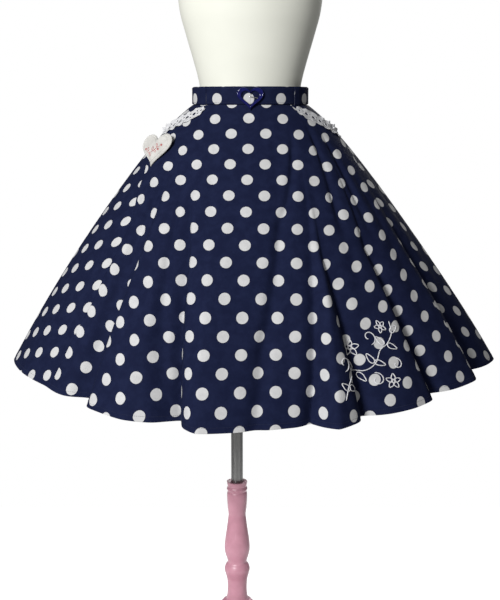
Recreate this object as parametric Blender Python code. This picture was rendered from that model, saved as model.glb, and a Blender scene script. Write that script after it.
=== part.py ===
# Circle skirt with its belt, worn by a limbless dress form on a turned stand.
# Metres, +Z up, front towards -Y. The origin is on the floor under the pole's axis.
# Left and right are as seen from the front.

import math

import bmesh
import bpy
from mathutils import Vector

# Where things stand
WAIST_Z = 1.205
FORM_X = 0.029
SEAM_GAP = 0.0003

# Skirt: half sizes of its waist and hem ovals, and how far the hem hangs down
WAIST_HALF_X = 0.1183
WAIST_HALF_Y = 0.0918
HEM_HALF_X = 0.501
HEM_HALF_Y = 0.440
SIDE_DROP = 0.518
FRONT_DROP = 0.571
CLOTH = 0.0015
FRONT_COLUMNS = 46
BACK_COLUMNS = 27
POCKET_COLUMNS = 5
LOWER_ROWS = 14

# Flare of the cloth below the waist: a quick start at the sides and a slow one in front
# and behind, then a run that bends inward
FLARE_START_SIDE = 0.0154
FLARE_START_FRONT = -0.0100
FLARE_START_LENGTH = 0.030
FLARE_RUN = 0.857
FLARE_BEND = 0.303

# Side seams and pocket mouths, as (fraction down the skirt, degrees from centre front)
POCKET_END = 0.112
SEAM_LEFT = ((0.0, -88.0), (POCKET_END, -84.0), (0.26, -62.0), (0.42, -51.0), (0.7, -50.0), (1.0, -52.0))
SEAM_RIGHT = ((0.0, 88.0), (POCKET_END, 84.0), (0.26, 69.0), (0.45, 59.5), (0.75, 59.5), (1.0, 61.0))
MOUTH_START = 42.0
MOUTH_END = 84.0
MOUTH_CLEAR = 0.20

# Folds: degrees at the top, half way and at the hem, half widths in degrees to each side,
# depth at the hem, and the fraction down the skirt where each starts. A negative depth is a ridge.
FOLD_COLUMNS = ("top", "middle", "hem", "width_left", "width_right", "depth", "start")
FOLDS = (
    (-58.0, -55.0, -54.0, 8.0, 7.0, 0.011, 0.25),
    (-48.0, -41.0, -40.2, 4.0, 1.7, 0.044, 0.08),
    (-34.0, -29.0, -27.0, 8.0, 7.0, -0.015, 0.30),
    (-42.0, -21.5, -15.7, 3.0, 1.3, 0.040, 0.12),
    (-20.0, -13.0, -10.5, 3.0, 9.0, -0.033, 0.30),
    (26.0, 11.0, 8.0, 7.0, 4.0, 0.008, 0.15),
    (37.6, 21.0, 13.2, 2.4, 1.2, 0.024, 0.10),
    (34.0, 22.6, 17.4, 2.4, 5.0, -0.030, 0.30),
    (36.0, 24.6, 24.9, 1.3, 3.6, 0.028, 0.10),
    (48.0, 37.0, 37.0, 7.0, 5.0, -0.007, 0.40),
    (59.0, 43.0, 45.7, 1.5, 4.2, 0.032, 0.10),
    (66.0, 60.0, 59.5, 5.0, 3.4, -0.009, 0.40),
    (72.0, 64.5, 65.2, 1.8, 4.4, 0.034, 0.22),
    (80.0, 79.0, 79.0, 7.0, 6.0, -0.014, 0.40),
    (96.0, 96.0, 97.0, 5.0, 4.0, 0.034, 0.16),
    (116.0, 118.0, 119.0, 5.0, 3.0, 0.046, 0.12),
    (140.0, 139.0, 138.0, 3.0, 5.0, 0.036, 0.20),
    (160.0, 161.0, 162.0, 3.6, 5.5, 0.050, 0.14),
    (173.0, 174.0, 174.0, 5.0, 5.0, -0.012, 0.30),
    (186.0, 185.0, 184.0, 5.0, 3.2, 0.040, 0.18),
    (206.0, 208.0, 209.0, 5.5, 3.2, 0.052, 0.12),
    (232.0, 231.0, 230.0, 3.4, 5.0, 0.034, 0.22),
    (252.0, 252.0, 253.0, 4.0, 5.0, 0.048, 0.14),
    (272.0, 272.0, 273.0, 5.0, 4.0, 0.030, 0.20),
)
FOLD_SHARPNESS = 1.55
FOLD_LINE_EASE = 0.7
FOLD_FULL_AT = 1.05
FOLD_GROWTH = 0.8
FOLD_TOP_SHARE = 0.55

# Small steps used to find slopes on the surface
ANGLE_STEP = 0.05
FRACTION_STEP = 0.0005

# Waistband, belt and loops
WAIST_STEPS = 60
BAND_HEIGHT = 0.0366
BAND_HALF_X = 0.1160
BAND_HALF_Y = 0.0895
BAND_THICK = 0.0020
BELT_GAP = 0.0005
BELT_CLEAR = 0.0015
BELT_THICK = 0.0018
LOOP_ANGLES = {"belt_loop_left": -52.0, "belt_loop_right": 52.0, "belt_loop_back_left": 228.0,
               "belt_loop_back_right": 132.0}
LOOP_WIDTH = 0.0165
LOOP_THICK = 0.0011
LOOP_CLEAR = 0.0003
LOOP_REACH = 0.0002

# The heart curve's own height, and the shift that puts its middle at zero
HEART_SPAN = 29.0
HEART_MIDDLE = 0.087

# Heart buckle, its rail's section as (scale of the outline, share of the thickness)
BUCKLE_WIDTH = 0.054
BUCKLE_HEIGHT = 0.045
BUCKLE_X = 0.0
BUCKLE_Z = 0.0120
BUCKLE_LEAN = 0.115
BUCKLE_THICK = 0.0032
BUCKLE_HOLE = 0.66
BUCKLE_HOLE_RISE = 0.002
BUCKLE_GAP = 0.0003
BUCKLE_STEPS = 36
RAIL_COLUMNS = ("scale", "height")
RAIL_SECTION = (
    (1.0, 0.55),
    (0.94, 0.95),
    (0.80, 1.0),
    (0.69, 0.75),
)
PRONG_LENGTH = 0.017
PRONG_RADIUS = 0.0011
PRONG_CLEAR = 0.0030
PRONG_LIFT = 0.0012
PRONG_TAPER = 0.35
PRONG_LOW = 0.0015
PRONG_RISE = 0.003
PRONG_ROWS = 4
PRONG_SIDES = 8

# Lace along each pocket mouth
LACE_HALF_WIDTH = 0.0105
LACE_SCALLOP = 0.0018
LACE_THICK = 0.0010
LACE_LIFT = 0.0004
LACE_WAVE = 0.0011
LACE_REPEATS = 7
LACE_HOLE_RADIUS = 0.0023
LACE_START = 0.014
LACE_END = POCKET_END + 0.002
LACE_BACK = 0.3
LACE_HIGHEST = 0.0015
LACE_NARROW_START = 0.45
LACE_NARROW_END = 0.16
LACE_PER_REPEAT = 6
LACE_ACROSS = 6
WAVE_RATE = 0.83

# Padded heart sewn below the left lace: its section as (scale of the outline, share of the height)
HEART_WIDTH = 0.080
HEART_HEIGHT = 0.072
HEART_THICK = 0.009
HEART_ANGLE = -64.0
HEART_FRACTION = 0.178
HEART_FACES = -42.0
HEART_LEANS = 26.0
HEART_TILT = 4.0
HEART_STEPS = 28
SEAT_STEPS = 26
SEAT_TURN = 1.0
SEAT_DROP = 0.004
CROWN_COLUMNS = ("scale", "height")
CROWN_SECTION = (
    (1.0, 0.0),
    (1.0, 0.25),
    (0.93, 0.62),
    (0.76, 0.90),
    (0.45, 1.0),
)

# Stand
TURN_STEPS = 24
POLE_RADIUS = 0.0127
POLE_BOTTOM = 0.200
POLE_EDGE = 0.001
BORE_RADIUS = 0.0132
BORE_BOTTOM = 0.088
FORM_BOTTOM_Z = 0.920
SOCKET_RADIUS = 0.0134
SOCKET_DEPTH = 0.060
CUTTER_PAST = 0.020
BASE_RADIUS = 0.200
BASE_STEPS = 40
BASE_HEIGHT = 0.035

# Torso form: height from the waist seam, half width, half depth
TORSO_COLUMNS = ("height", "half_x", "half_y")
TORSO_RINGS = (
    (-0.285, 0.132, 0.098),
    (-0.281, 0.144, 0.108),
    (-0.266, 0.154, 0.116),
    (-0.220, 0.163, 0.122),
    (-0.165, 0.161, 0.121),
    (-0.110, 0.149, 0.113),
    (-0.060, 0.133, 0.102),
    (-0.020, 0.1195, 0.0925),
    (0.0010, 0.1147, 0.0882),
    (0.0160, 0.1094, 0.0846),
    (0.0340, 0.1045, 0.0815),
    (0.0580, 0.1085, 0.0835),
    (0.0950, 0.1185, 0.0900),
    (0.1400, 0.1315, 0.0990),
    (0.1850, 0.1435, 0.1090),
    (0.2300, 0.1485, 0.1150),
    (0.2750, 0.1470, 0.1120),
    (0.3200, 0.1400, 0.0990),
    (0.3550, 0.1270, 0.0860),
    (0.3820, 0.1050, 0.0750),
    (0.4000, 0.0780, 0.0650),
    (0.4140, 0.0590, 0.0560),
    (0.4300, 0.0540, 0.0520),
    (0.4480, 0.0530, 0.0510),
    (0.4550, 0.0480, 0.0460),
)
TORSO_STEPS = 32

# Round base and turned post: height above the floor and radius, upwards
BASE_PROFILE = (
    (0.0, BASE_RADIUS - 0.004),
    (0.004, BASE_RADIUS),
    (0.018, BASE_RADIUS),
    (0.026, BASE_RADIUS - 0.006),
    (0.031, BASE_RADIUS - 0.030),
    (BASE_HEIGHT, 0.060),
)
BORE_EDGE = 0.0008
POST_PROFILE = (
    (0.0353, 0.0340),
    (0.0410, 0.0360),
    (0.0480, 0.0305),
    (0.0570, 0.0315),
    (0.0680, 0.0390),
    (0.0800, 0.0455),
    (0.0925, 0.0475),
    (0.1030, 0.0430),
    (0.1100, 0.0350),
    (0.1150, 0.0315),
    (0.1190, 0.0250),
    (0.1290, 0.0222),
    (0.1460, 0.0212),
    (0.1650, 0.0223),
    (0.1780, 0.0255),
    (0.1890, 0.0280),
    (0.1980, 0.0258),
    (0.2035, 0.0222),
    (0.2070, 0.0210),
    (0.2140, 0.0226),
    (0.2260, 0.0262),
    (0.2390, 0.0280),
    (0.2580, 0.0265),
    (0.2850, 0.0226),
    (0.3050, 0.0201),
    (0.3160, 0.0190),
    (0.3280, 0.0203),
    (0.3500, 0.0217),
    (0.3640, 0.0217),
    (0.3690, 0.0203),
    (0.3745, 0.0224),
    (0.3800, 0.0206),
    (0.3850, 0.0214),
    (0.3910, 0.0225),
)

# Colours as linear RGB, roughness, metallic
FINISHES = {
    "navy_cloth": ((0.011, 0.015, 0.040), 0.85, 0.0),
    "white_lace": ((0.80, 0.79, 0.80), 0.90, 0.0),
    "cream_felt": ((0.78, 0.77, 0.72), 0.90, 0.0),
    "navy_enamel": ((0.008, 0.010, 0.030), 0.20, 0.0),
    "steel": ((0.55, 0.55, 0.56), 0.25, 1.0),
    "form_cover": ((0.86, 0.86, 0.78), 0.75, 0.0),
    "pole_metal": ((0.16, 0.16, 0.155), 0.35, 1.0),
    "pink_paint": ((0.52, 0.25, 0.31), 0.45, 0.0),
}


# Small helpers
def smooth_step(low, high, value):
    part = min(1.0, max(0.0, (value - low) / (high - low)))
    return part * part * (3.0 - 2.0 * part)


def read_line(points, t):
    # The angle at t, on straight runs between (fraction, angle) points
    for (t0, a0), (t1, a1) in zip(points, points[1:]):
        if t <= t1:
            part = (t - t0) / (t1 - t0)
            return a0 + (a1 - a0) * part
    return points[-1][1]


def material(name):
    colour, rough, metal = FINISHES[name]
    made = bpy.data.materials.get(name)
    if made is None:
        made = bpy.data.materials.new(name)
        made.use_nodes = True
        shader = made.node_tree.nodes["Principled BSDF"]
        shader.inputs["Base Color"].default_value = (*colour, 1.0)
        shader.inputs["Roughness"].default_value = rough
        shader.inputs["Metallic"].default_value = metal
    return made


def add_object(name, points, faces, finish):
    mesh = bpy.data.meshes.new(name)
    mesh.from_pydata([tuple(p) for p in points], [], faces)
    work = bmesh.new()
    work.from_mesh(mesh)
    bmesh.ops.recalc_face_normals(work, faces=work.faces)
    work.to_mesh(mesh)
    work.free()
    mesh.shade_smooth()
    mesh.set_sharp_from_angle(angle=math.radians(40))
    made = bpy.data.objects.new(name, mesh)
    made.data.materials.append(material(finish))
    bpy.context.collection.objects.link(made)
    return made


def thicken(name, outer, inner, faces, finish):
    # A wall from two layers of the same points: both skins, and a rim along every open edge
    count = len(outer)
    edges = {}
    for face in faces:
        for a, b in zip(face, face[1:] + face[:1]):
            edges[(a, b)] = True
    skins = list(faces)
    skins += [tuple(count + i for i in reversed(face)) for face in faces]
    for a, b in edges:
        if (b, a) not in edges:
            skins.append((b, a, count + a, count + b))
    used = sorted({i for face in skins for i in face})
    place = {old: new for new, old in enumerate(used)}
    layers = list(outer) + list(inner)
    points = [layers[i] for i in used]
    return add_object(name, points, [tuple(place[i] for i in face) for face in skins], finish)


def grid_faces(rows, columns):
    wide = columns + 1
    return [(r * wide + c, (r + 1) * wide + c, (r + 1) * wide + c + 1, r * wide + c + 1)
            for r in range(rows) for c in range(columns)]


# The skirt's surface
def flare(theta, t):
    front = math.cos(theta) ** 2
    start = FLARE_START_FRONT * front + FLARE_START_SIDE * (1.0 - front)

    def out(d):
        return start * (1.0 - math.exp(-d / FLARE_START_LENGTH)) + FLARE_RUN * d - FLARE_BEND * d * d
    return out(t * SIDE_DROP) / out(SIDE_DROP)


def fold_depth(angle, t):
    total = 0.0
    for row in FOLDS:
        fold = dict(zip(FOLD_COLUMNS, row))
        if t < 0.5:
            line = fold["top"] + (fold["middle"] - fold["top"]) * (t / 0.5) ** FOLD_LINE_EASE
        else:
            line = fold["middle"] + (fold["hem"] - fold["middle"]) * (t - 0.5) / 0.5
        away = (angle - line + 180.0) % 360.0 - 180.0
        width = fold["width_left"] if away < 0.0 else fold["width_right"]
        across = math.exp(-abs(away / width) ** FOLD_SHARPNESS)
        grown = smooth_step(fold["start"], FOLD_FULL_AT, t) ** FOLD_GROWTH
        grown *= FOLD_TOP_SHARE + (1.0 - FOLD_TOP_SHARE) * t
        total += fold["depth"] * across * grown
    return total


def skirt_point(angle, t):
    theta = math.radians(angle)
    out = flare(theta, t)
    deep = fold_depth(angle, max(t, 0.0))
    half_x = WAIST_HALF_X + (HEM_HALF_X - WAIST_HALF_X) * out - deep
    half_y = WAIST_HALF_Y + (HEM_HALF_Y - WAIST_HALF_Y) * out - deep
    drop = SIDE_DROP + (FRONT_DROP - SIDE_DROP) * math.cos(theta) ** 2
    return Vector((FORM_X + half_x * math.sin(theta), -half_y * math.cos(theta),
                   WAIST_Z - SEAM_GAP - t * drop))


def skirt_frame(angle, t):
    # Point, both slopes (per degree and per fraction) and the outward normal
    here = skirt_point(angle, t)
    along = skirt_point(angle + ANGLE_STEP, t) - skirt_point(angle - ANGLE_STEP, t)
    along /= 2 * ANGLE_STEP
    down = skirt_point(angle, t + FRACTION_STEP) - skirt_point(angle, t - FRACTION_STEP)
    down /= 2 * FRACTION_STEP
    normal = down.cross(along).normalized()
    if normal.dot(here - Vector((FORM_X, 0.0, here.z))) < 0.0:
        normal = -normal
    return here, along, down, normal


def skirt_wall_points(lines):
    # lines holds rows of (angle, t); the wall's middle is on the surface
    outer = []
    inner = []
    for angle, t in lines:
        here, _, _, normal = skirt_frame(angle, t)
        if t == 0.0:
            # The top edge is level, just under the waistband
            normal = Vector((normal.x, normal.y, 0.0)).normalized()
        outer.append(here + normal * CLOTH / 2)
        inner.append(here - normal * CLOTH / 2)
    return outer, inner


def seam_shift(angle, t):
    # Half the seam gap, in degrees of arc
    _, along, _, _ = skirt_frame(angle, t)
    return SEAM_GAP / 2 / along.length


def mouth_angle(t, back=0.0):
    # back moves the line towards the side seam, in degrees
    return MOUTH_START + (MOUTH_END - MOUTH_START) * t / POCKET_END + back


def seam_angle(side, t):
    if side < 0:
        return read_line(SEAM_LEFT, t)
    return read_line(SEAM_RIGHT, t)


TOP_ROWS = tuple(POCKET_END * part for part in (0.0, 0.25, 0.5, 0.75, 0.94, 1.0))


def row_fractions(lower_rows):
    lower = [POCKET_END + (1.0 - POCKET_END) * (i / lower_rows) for i in range(1, lower_rows + 1)]
    return list(TOP_ROWS) + lower


def add_panel(name, left_edge, right_edge, fractions, columns):
    lines = []
    for t in fractions:
        low = left_edge(t)
        high = right_edge(t)
        low += seam_shift(low, t)
        high -= seam_shift(high, t)
        lines += [(low + (high - low) * c / columns, t) for c in range(columns + 1)]
    outer, inner = skirt_wall_points(lines)
    return thicken(name, outer, inner, grid_faces(len(fractions) - 1, columns), "navy_cloth")


def front_edge(side):
    def edge(t):
        if t < POCKET_END - 1e-6:
            return side * mouth_angle(t)
        return seam_angle(side, t)
    return edge


def build_skirt():
    fractions = row_fractions(LOWER_ROWS)
    add_panel("front_panel", front_edge(-1), front_edge(1), fractions, FRONT_COLUMNS)
    add_panel("back_panel_right", lambda t: seam_angle(1, t), lambda t: 180.0, fractions, BACK_COLUMNS)
    add_panel("back_panel_left", lambda t: 180.0, lambda t: 360.0 + seam_angle(-1, t), fractions,
              BACK_COLUMNS)
    tops = TOP_ROWS[:5]
    add_panel("pocket_side_left", lambda t: seam_angle(-1, t), lambda t: -mouth_angle(t, MOUTH_CLEAR),
              tops, POCKET_COLUMNS)
    add_panel("pocket_side_right", lambda t: mouth_angle(t, MOUTH_CLEAR), lambda t: seam_angle(1, t),
              tops, POCKET_COLUMNS)


# Waistband, belt, loops
def oval_point(half_x, half_y, angle, z):
    theta = math.radians(angle)
    return Vector((FORM_X + half_x * math.sin(theta), -half_y * math.cos(theta), z))


def add_oval_wall(name, inner_x, inner_y, thick, low, high, opening, steps, finish):
    # A standing strip round the waist, open by a hair at the angle given
    half_gap = math.degrees(SEAM_GAP / 2 / inner_x)
    angles = [opening + half_gap + (360.0 - 2 * half_gap) * i / steps for i in range(steps + 1)]
    outer = []
    inner = []
    for z in (high, low):
        for angle in angles:
            outer.append(oval_point(inner_x + thick, inner_y + thick, angle, z))
            inner.append(oval_point(inner_x, inner_y, angle, z))
    return thicken(name, outer, inner, grid_faces(1, steps), finish)


def belt_inner():
    grow = BAND_THICK + BELT_GAP
    return BAND_HALF_X + grow, BAND_HALF_Y + grow


def build_waist():
    add_oval_wall("waistband", BAND_HALF_X, BAND_HALF_Y, BAND_THICK, WAIST_Z, WAIST_Z + BAND_HEIGHT,
                  180.0, WAIST_STEPS, "navy_cloth")
    half_x, half_y = belt_inner()
    add_oval_wall("belt", half_x, half_y, BELT_THICK, WAIST_Z + BELT_CLEAR,
                  WAIST_Z + BAND_HEIGHT - BELT_CLEAR, 0.0, WAIST_STEPS, "navy_cloth")
    for name, angle in LOOP_ANGLES.items():
        add_loop(name, angle)


def add_loop(name, angle):
    # A strip over the belt whose two ends turn in to the waistband
    half_x, half_y = belt_inner()
    face = BELT_THICK + LOOP_CLEAR
    radius = oval_point(half_x, half_y, angle, 0.0) - Vector((FORM_X, 0.0, 0.0))
    half_turn = math.degrees(LOOP_WIDTH / 2 / radius.length)
    top = WAIST_Z + BAND_HEIGHT
    low = WAIST_Z
    section = (
        (-LOOP_REACH, low),
        (face + LOOP_THICK, low),
        (face + LOOP_THICK, top),
        (-LOOP_REACH, top),
        (-LOOP_REACH, top - LOOP_THICK),
        (face, top - LOOP_THICK),
        (face, low + LOOP_THICK),
        (-LOOP_REACH, low + LOOP_THICK),
    )
    steps = 4
    points = []
    for i in range(steps + 1):
        turn = angle - half_turn + 2 * half_turn * i / steps
        points += [oval_point(half_x + out, half_y + out, turn, z) for out, z in section]
    size = len(section)
    faces = []
    for i in range(steps):
        for k in range(size):
            a = i * size + k
            b = i * size + (k + 1) % size
            faces.append((a, b, b + size, a + size))
    last = steps * size
    for start in (0, last):
        for quad in ((0, 1, 6, 7), (1, 2, 5, 6), (2, 3, 4, 5)):
            faces.append(tuple(start + k for k in quad))
    return add_object(name, points, faces, "navy_cloth")


# Heart outlines
def heart_outline(width, height, steps):
    # A heart curve from its notch round once, its height scaled to one and its middle at zero
    points = []
    for i in range(steps):
        turn = 2 * math.pi * i / steps
        x = math.sin(turn) ** 3
        z = 13 * math.cos(turn) - 5 * math.cos(2 * turn) - 2 * math.cos(3 * turn) - math.cos(4 * turn)
        points.append((x * width / 2, (z / HEART_SPAN + HEART_MIDDLE) * height))
    return points


def belt_front(x, z, out):
    half_x, half_y = belt_inner()
    half_x += BELT_THICK + out
    half_y += BELT_THICK + out
    return Vector((FORM_X + x, -half_y * math.sqrt(1.0 - (x / half_x) ** 2), z))


def build_buckle():
    steps = BUCKLE_STEPS
    rim = heart_outline(BUCKLE_WIDTH, BUCKLE_HEIGHT, steps)
    rail = [dict(zip(RAIL_COLUMNS, row)) for row in RAIL_SECTION]
    rings = [(1.0, BUCKLE_GAP)]
    rings += [(row["scale"], BUCKLE_THICK * row["height"]) for row in rail]
    rings += [(BUCKLE_HOLE, BUCKLE_GAP)]
    middle = WAIST_Z + BUCKLE_Z
    points = []
    for scale, out in rings:
        for x, z in rim:
            high = z * scale + (1 - scale) * BUCKLE_HOLE_RISE
            lean = BUCKLE_LEAN * (BUCKLE_HEIGHT / 2 - high)
            points.append(belt_front(BUCKLE_X + x * scale, middle + high, out + lean))
    faces = []
    for k in range(len(rings)):
        a = k * steps
        b = (k + 1) % len(rings) * steps
        for i in range(steps):
            j = (i + 1) % steps
            faces.append((a + i, a + j, b + j, b + i))
    add_object("buckle_frame", points, faces, "navy_enamel")
    build_prong(middle)


def build_prong(middle):
    # A short pin on the belt, from the frame's right side towards the left
    start_x = BUCKLE_X + BUCKLE_WIDTH / 2 * BUCKLE_HOLE - PRONG_CLEAR
    rows = PRONG_ROWS
    sides = PRONG_SIDES
    points = []
    for i in range(rows + 1):
        part = i / rows
        x = start_x - PRONG_LENGTH * part
        z = middle + PRONG_LOW + PRONG_RISE * part
        radius = PRONG_RADIUS * (1.0 - PRONG_TAPER * part ** 2)
        base = belt_front(x, z, PRONG_LIFT + PRONG_RADIUS)
        for k in range(sides):
            turn = 2 * math.pi * k / sides
            points.append(base + Vector((0.0, radius * math.cos(turn), radius * math.sin(turn))))
    faces = []
    for i in range(rows):
        for k in range(sides):
            j = (k + 1) % sides
            faces.append((i * sides + k, i * sides + j, (i + 1) * sides + j, (i + 1) * sides + k))
    faces.append(tuple(range(sides)))
    faces.append(tuple(reversed(range(rows * sides, (rows + 1) * sides))))
    add_object("buckle_prong", points, faces, "steel")


# Lace
def lace_centre(side, s):
    # Along the pocket mouth, from just under the belt to the pocket's lower end
    t = LACE_START + (LACE_END - LACE_START) * s
    return side * (mouth_angle(t) - LACE_BACK), t


def on_skirt(angle, t, shift, out):
    # A point a given way along the surface from (angle, t), moved out from it
    _, along, down, _ = skirt_frame(angle, t)
    d_angle = shift.dot(along) / along.length_squared
    rest = shift - along * d_angle
    d_t = rest.dot(down) / down.length_squared
    new_t = max(LACE_HIGHEST, t + d_t)
    here, _, _, lift = skirt_frame(angle + d_angle, new_t)
    return here + lift * out


def build_lace(name, side):
    per_repeat = LACE_PER_REPEAT
    across = LACE_ACROSS
    spacing = run_spacing(side, LACE_REPEATS * LACE_PER_REPEAT)
    columns = LACE_REPEATS * per_repeat
    outer = []
    inner = []
    for r in range(across + 1):
        for c in range(columns + 1):
            s = c / columns
            angle, t = lace_centre(side, s)
            _, _, _, normal = skirt_frame(angle, t)
            later_angle, later_t = lace_centre(side, s + 0.001)
            run = (skirt_point(later_angle, later_t) - skirt_point(angle, t)).normalized()
            cross = run.cross(normal).normalized()
            phase = c / per_repeat
            narrow = smooth_step(0.0, LACE_NARROW_END, s)
            narrow = LACE_NARROW_START + (1.0 - LACE_NARROW_START) * narrow
            half = (LACE_HALF_WIDTH + LACE_SCALLOP * abs(math.sin(math.pi * phase))) * narrow
            v = -1.0 + 2.0 * r / across
            local_c = c % per_repeat
            du = 0.0
            dv = v * half
            in_hole_c = local_c in (2, 3, 4) and 0 < c < columns
            in_hole_r = r in (2, 3, 4)
            if in_hole_c and in_hole_r and narrow > 0.9 and not (local_c == 3 and r == 3):
                x = local_c - 3
                y = r - 3
                turn = math.atan2(y, x)
                du = LACE_HOLE_RADIUS * math.cos(turn) - x * spacing
                dv = LACE_HOLE_RADIUS * math.sin(turn)
            wave = 1.0 + math.sin(2 * math.pi * phase * WAVE_RATE + 1.0 + v)
            wave *= LACE_WAVE * abs(v)
            shift = run * du + cross * dv
            base = LACE_LIFT + wave
            outer.append(on_skirt(angle, t, shift, base + LACE_THICK + CLOTH / 2))
            inner.append(on_skirt(angle, t, shift, base + CLOTH / 2))
    faces = []
    wide = columns + 1
    for r in range(across):
        for c in range(columns):
            local_c = c % per_repeat
            late = c >= per_repeat
            if late and r in (2, 3) and local_c in (2, 3):
                continue
            faces.append((r * wide + c, (r + 1) * wide + c, (r + 1) * wide + c + 1, r * wide + c + 1))
    return thicken(name, outer, inner, faces, "white_lace")


def run_spacing(side, columns):
    first = skirt_point(*lace_centre(side, 0.0))
    total = 0.0
    for i in range(1, columns + 1):
        here = skirt_point(*lace_centre(side, i / columns))
        total += (here - first).length
        first = here
    return total / columns


# Padded heart
def build_heart():
    steps = HEART_STEPS
    rim = heart_outline(HEART_WIDTH, HEART_HEIGHT, steps)
    faces_way = math.radians(HEART_FACES)
    leans = math.radians(HEART_LEANS)
    out = Vector((math.sin(faces_way) * math.cos(leans), -math.cos(faces_way) * math.cos(leans),
                  math.sin(leans)))
    flat_right = Vector((math.cos(faces_way), math.sin(faces_way), 0.0))
    flat_up = out.cross(flat_right) * -1.0
    if flat_up.z < 0:
        flat_up = -flat_up
    tilt = math.radians(HEART_TILT)
    right = flat_right * math.cos(tilt) + flat_up * math.sin(tilt)
    up = flat_up * math.cos(tilt) - flat_right * math.sin(tilt)
    centre = skirt_point(HEART_ANGLE, HEART_FRACTION)
    centre += out * (seat_on_cloth(centre, right, up, out, rim) - out.dot(centre))
    rings = [dict(zip(CROWN_COLUMNS, row)) for row in CROWN_SECTION]
    points = []
    for ring in rings:
        lift = out * HEART_THICK * ring["height"]
        points += [centre + (right * x + up * z) * ring["scale"] + lift for x, z in rim]
    points.append(centre + out * HEART_THICK)
    points.append(centre)
    top = len(points) - 2
    under = len(points) - 1
    faces = []
    for k in range(len(rings) - 1):
        for i in range(steps):
            j = (i + 1) % steps
            faces.append((k * steps + i, k * steps + j, (k + 1) * steps + j, (k + 1) * steps + i))
    last = (len(rings) - 1) * steps
    for i in range(steps):
        j = (i + 1) % steps
        faces.append((last + i, last + j, top))
        faces.append((j, i, under))
    add_object("heart_patch", points, faces, "cream_felt")


def within(outline, x, z):
    inside = False
    for (x0, z0), (x1, z1) in zip(outline, outline[1:] + outline[:1]):
        if (z0 > z) != (z1 > z) and x < x0 + (x1 - x0) * (z - z0) / (z1 - z0):
            inside = not inside
    return inside


def seat_on_cloth(centre, right, up, out, rim):
    # How far out the heart's flat back lies, so that it just clears the cloth under it
    reaches = []
    for i in range(-SEAT_STEPS, SEAT_STEPS + 1):
        for k in range(-SEAT_STEPS, SEAT_STEPS + 1):
            here, _, _, normal = skirt_frame(HEART_ANGLE + SEAT_TURN * i, HEART_FRACTION + SEAT_DROP * k)
            here += normal * CLOTH / 2
            near = here - centre
            if within(rim, near.dot(right), near.dot(up)):
                reaches.append(out.dot(here))
    return max(reaches) + SEAM_GAP


# Stand
def add_turned(name, profile, steps, finish):
    # profile runs from the axis at the bottom, out and up, and back to the axis
    points = [Vector((0.0, 0.0, profile[0][0]))]
    rings = profile[1:-1]
    for z, radius in rings:
        for k in range(steps):
            turn = 2 * math.pi * k / steps
            points.append(Vector((radius * math.cos(turn), radius * math.sin(turn), z)))
    points.append(Vector((0.0, 0.0, profile[-1][0])))
    faces = []
    for i in range(len(rings) - 1):
        for k in range(steps):
            j = (k + 1) % steps
            a = 1 + i * steps
            b = a + steps
            faces.append((a + k, a + j, b + j, b + k))
    last = 1 + (len(rings) - 1) * steps
    for k in range(steps):
        j = (k + 1) % steps
        faces.append((0, 1 + j, 1 + k))
        faces.append((len(points) - 1, last + k, last + j))
    return add_object(name, points, faces, finish)


def build_stand():
    foot = POST_PROFILE[0][0]
    collar = POST_PROFILE[-1][0]
    post = [(foot, 0.0), *POST_PROFILE]
    post += [(collar - BORE_EDGE / 2, BORE_RADIUS + BORE_EDGE), (collar - 1.5 * BORE_EDGE, BORE_RADIUS)]
    post += [(BORE_BOTTOM, BORE_RADIUS), (BORE_BOTTOM, 0.0)]
    add_turned("post", post, TURN_STEPS, "pink_paint")
    base = [(0.0, 0.0), *BASE_PROFILE, (BASE_HEIGHT, 0.0)]
    add_turned("base", base, BASE_STEPS, "pink_paint")
    pole_top = FORM_BOTTOM_Z + SOCKET_DEPTH - SEAM_GAP
    pole = ((POLE_BOTTOM, 0.0), (POLE_BOTTOM, POLE_RADIUS - POLE_EDGE),
            (POLE_BOTTOM + POLE_EDGE, POLE_RADIUS), (pole_top - POLE_EDGE, POLE_RADIUS),
            (pole_top, POLE_RADIUS - POLE_EDGE), (pole_top, 0.0))
    add_turned("pole", pole, TURN_STEPS, "pole_metal")


def build_torso():
    rows = [dict(zip(TORSO_COLUMNS, row)) for row in TORSO_RINGS]
    points = []
    for row in rows:
        for k in range(TORSO_STEPS):
            angle = 360.0 * k / TORSO_STEPS
            points.append(oval_point(row["half_x"], row["half_y"], angle, WAIST_Z + row["height"]))
    faces = []
    for i in range(len(rows) - 1):
        for k in range(TORSO_STEPS):
            j = (k + 1) % TORSO_STEPS
            a = i * TORSO_STEPS
            b = a + TORSO_STEPS
            faces.append((a + k, a + j, b + j, b + k))
    for start, row in ((0, rows[0]), ((len(rows) - 1) * TORSO_STEPS, rows[-1])):
        points.append(Vector((FORM_X, 0.0, WAIST_Z + row["height"])))
        for k in range(TORSO_STEPS):
            faces.append((len(points) - 1, start + k, start + (k + 1) % TORSO_STEPS))
    torso = add_object("torso_form", points, faces, "form_cover")
    below = FORM_BOTTOM_Z - CUTTER_PAST
    above = FORM_BOTTOM_Z + SOCKET_DEPTH
    socket = ((below, 0.0), (below, SOCKET_RADIUS), (above, SOCKET_RADIUS), (above, 0.0))
    cutter = add_turned("socket_cutter", socket, TURN_STEPS, "form_cover")
    cutter.hide_render = True
    cutter.display_type = "WIRE"
    cut = torso.modifiers.new("socket", "BOOLEAN")
    cut.operation = "DIFFERENCE"
    cut.solver = "EXACT"
    cut.object = cutter


def main():
    for old in list(bpy.data.objects):
        bpy.data.objects.remove(old)
    build_skirt()
    build_waist()
    build_buckle()
    build_lace("lace_left", -1)
    build_lace("lace_right", 1)
    build_heart()
    build_torso()
    build_stand()


main()
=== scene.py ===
import math

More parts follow.
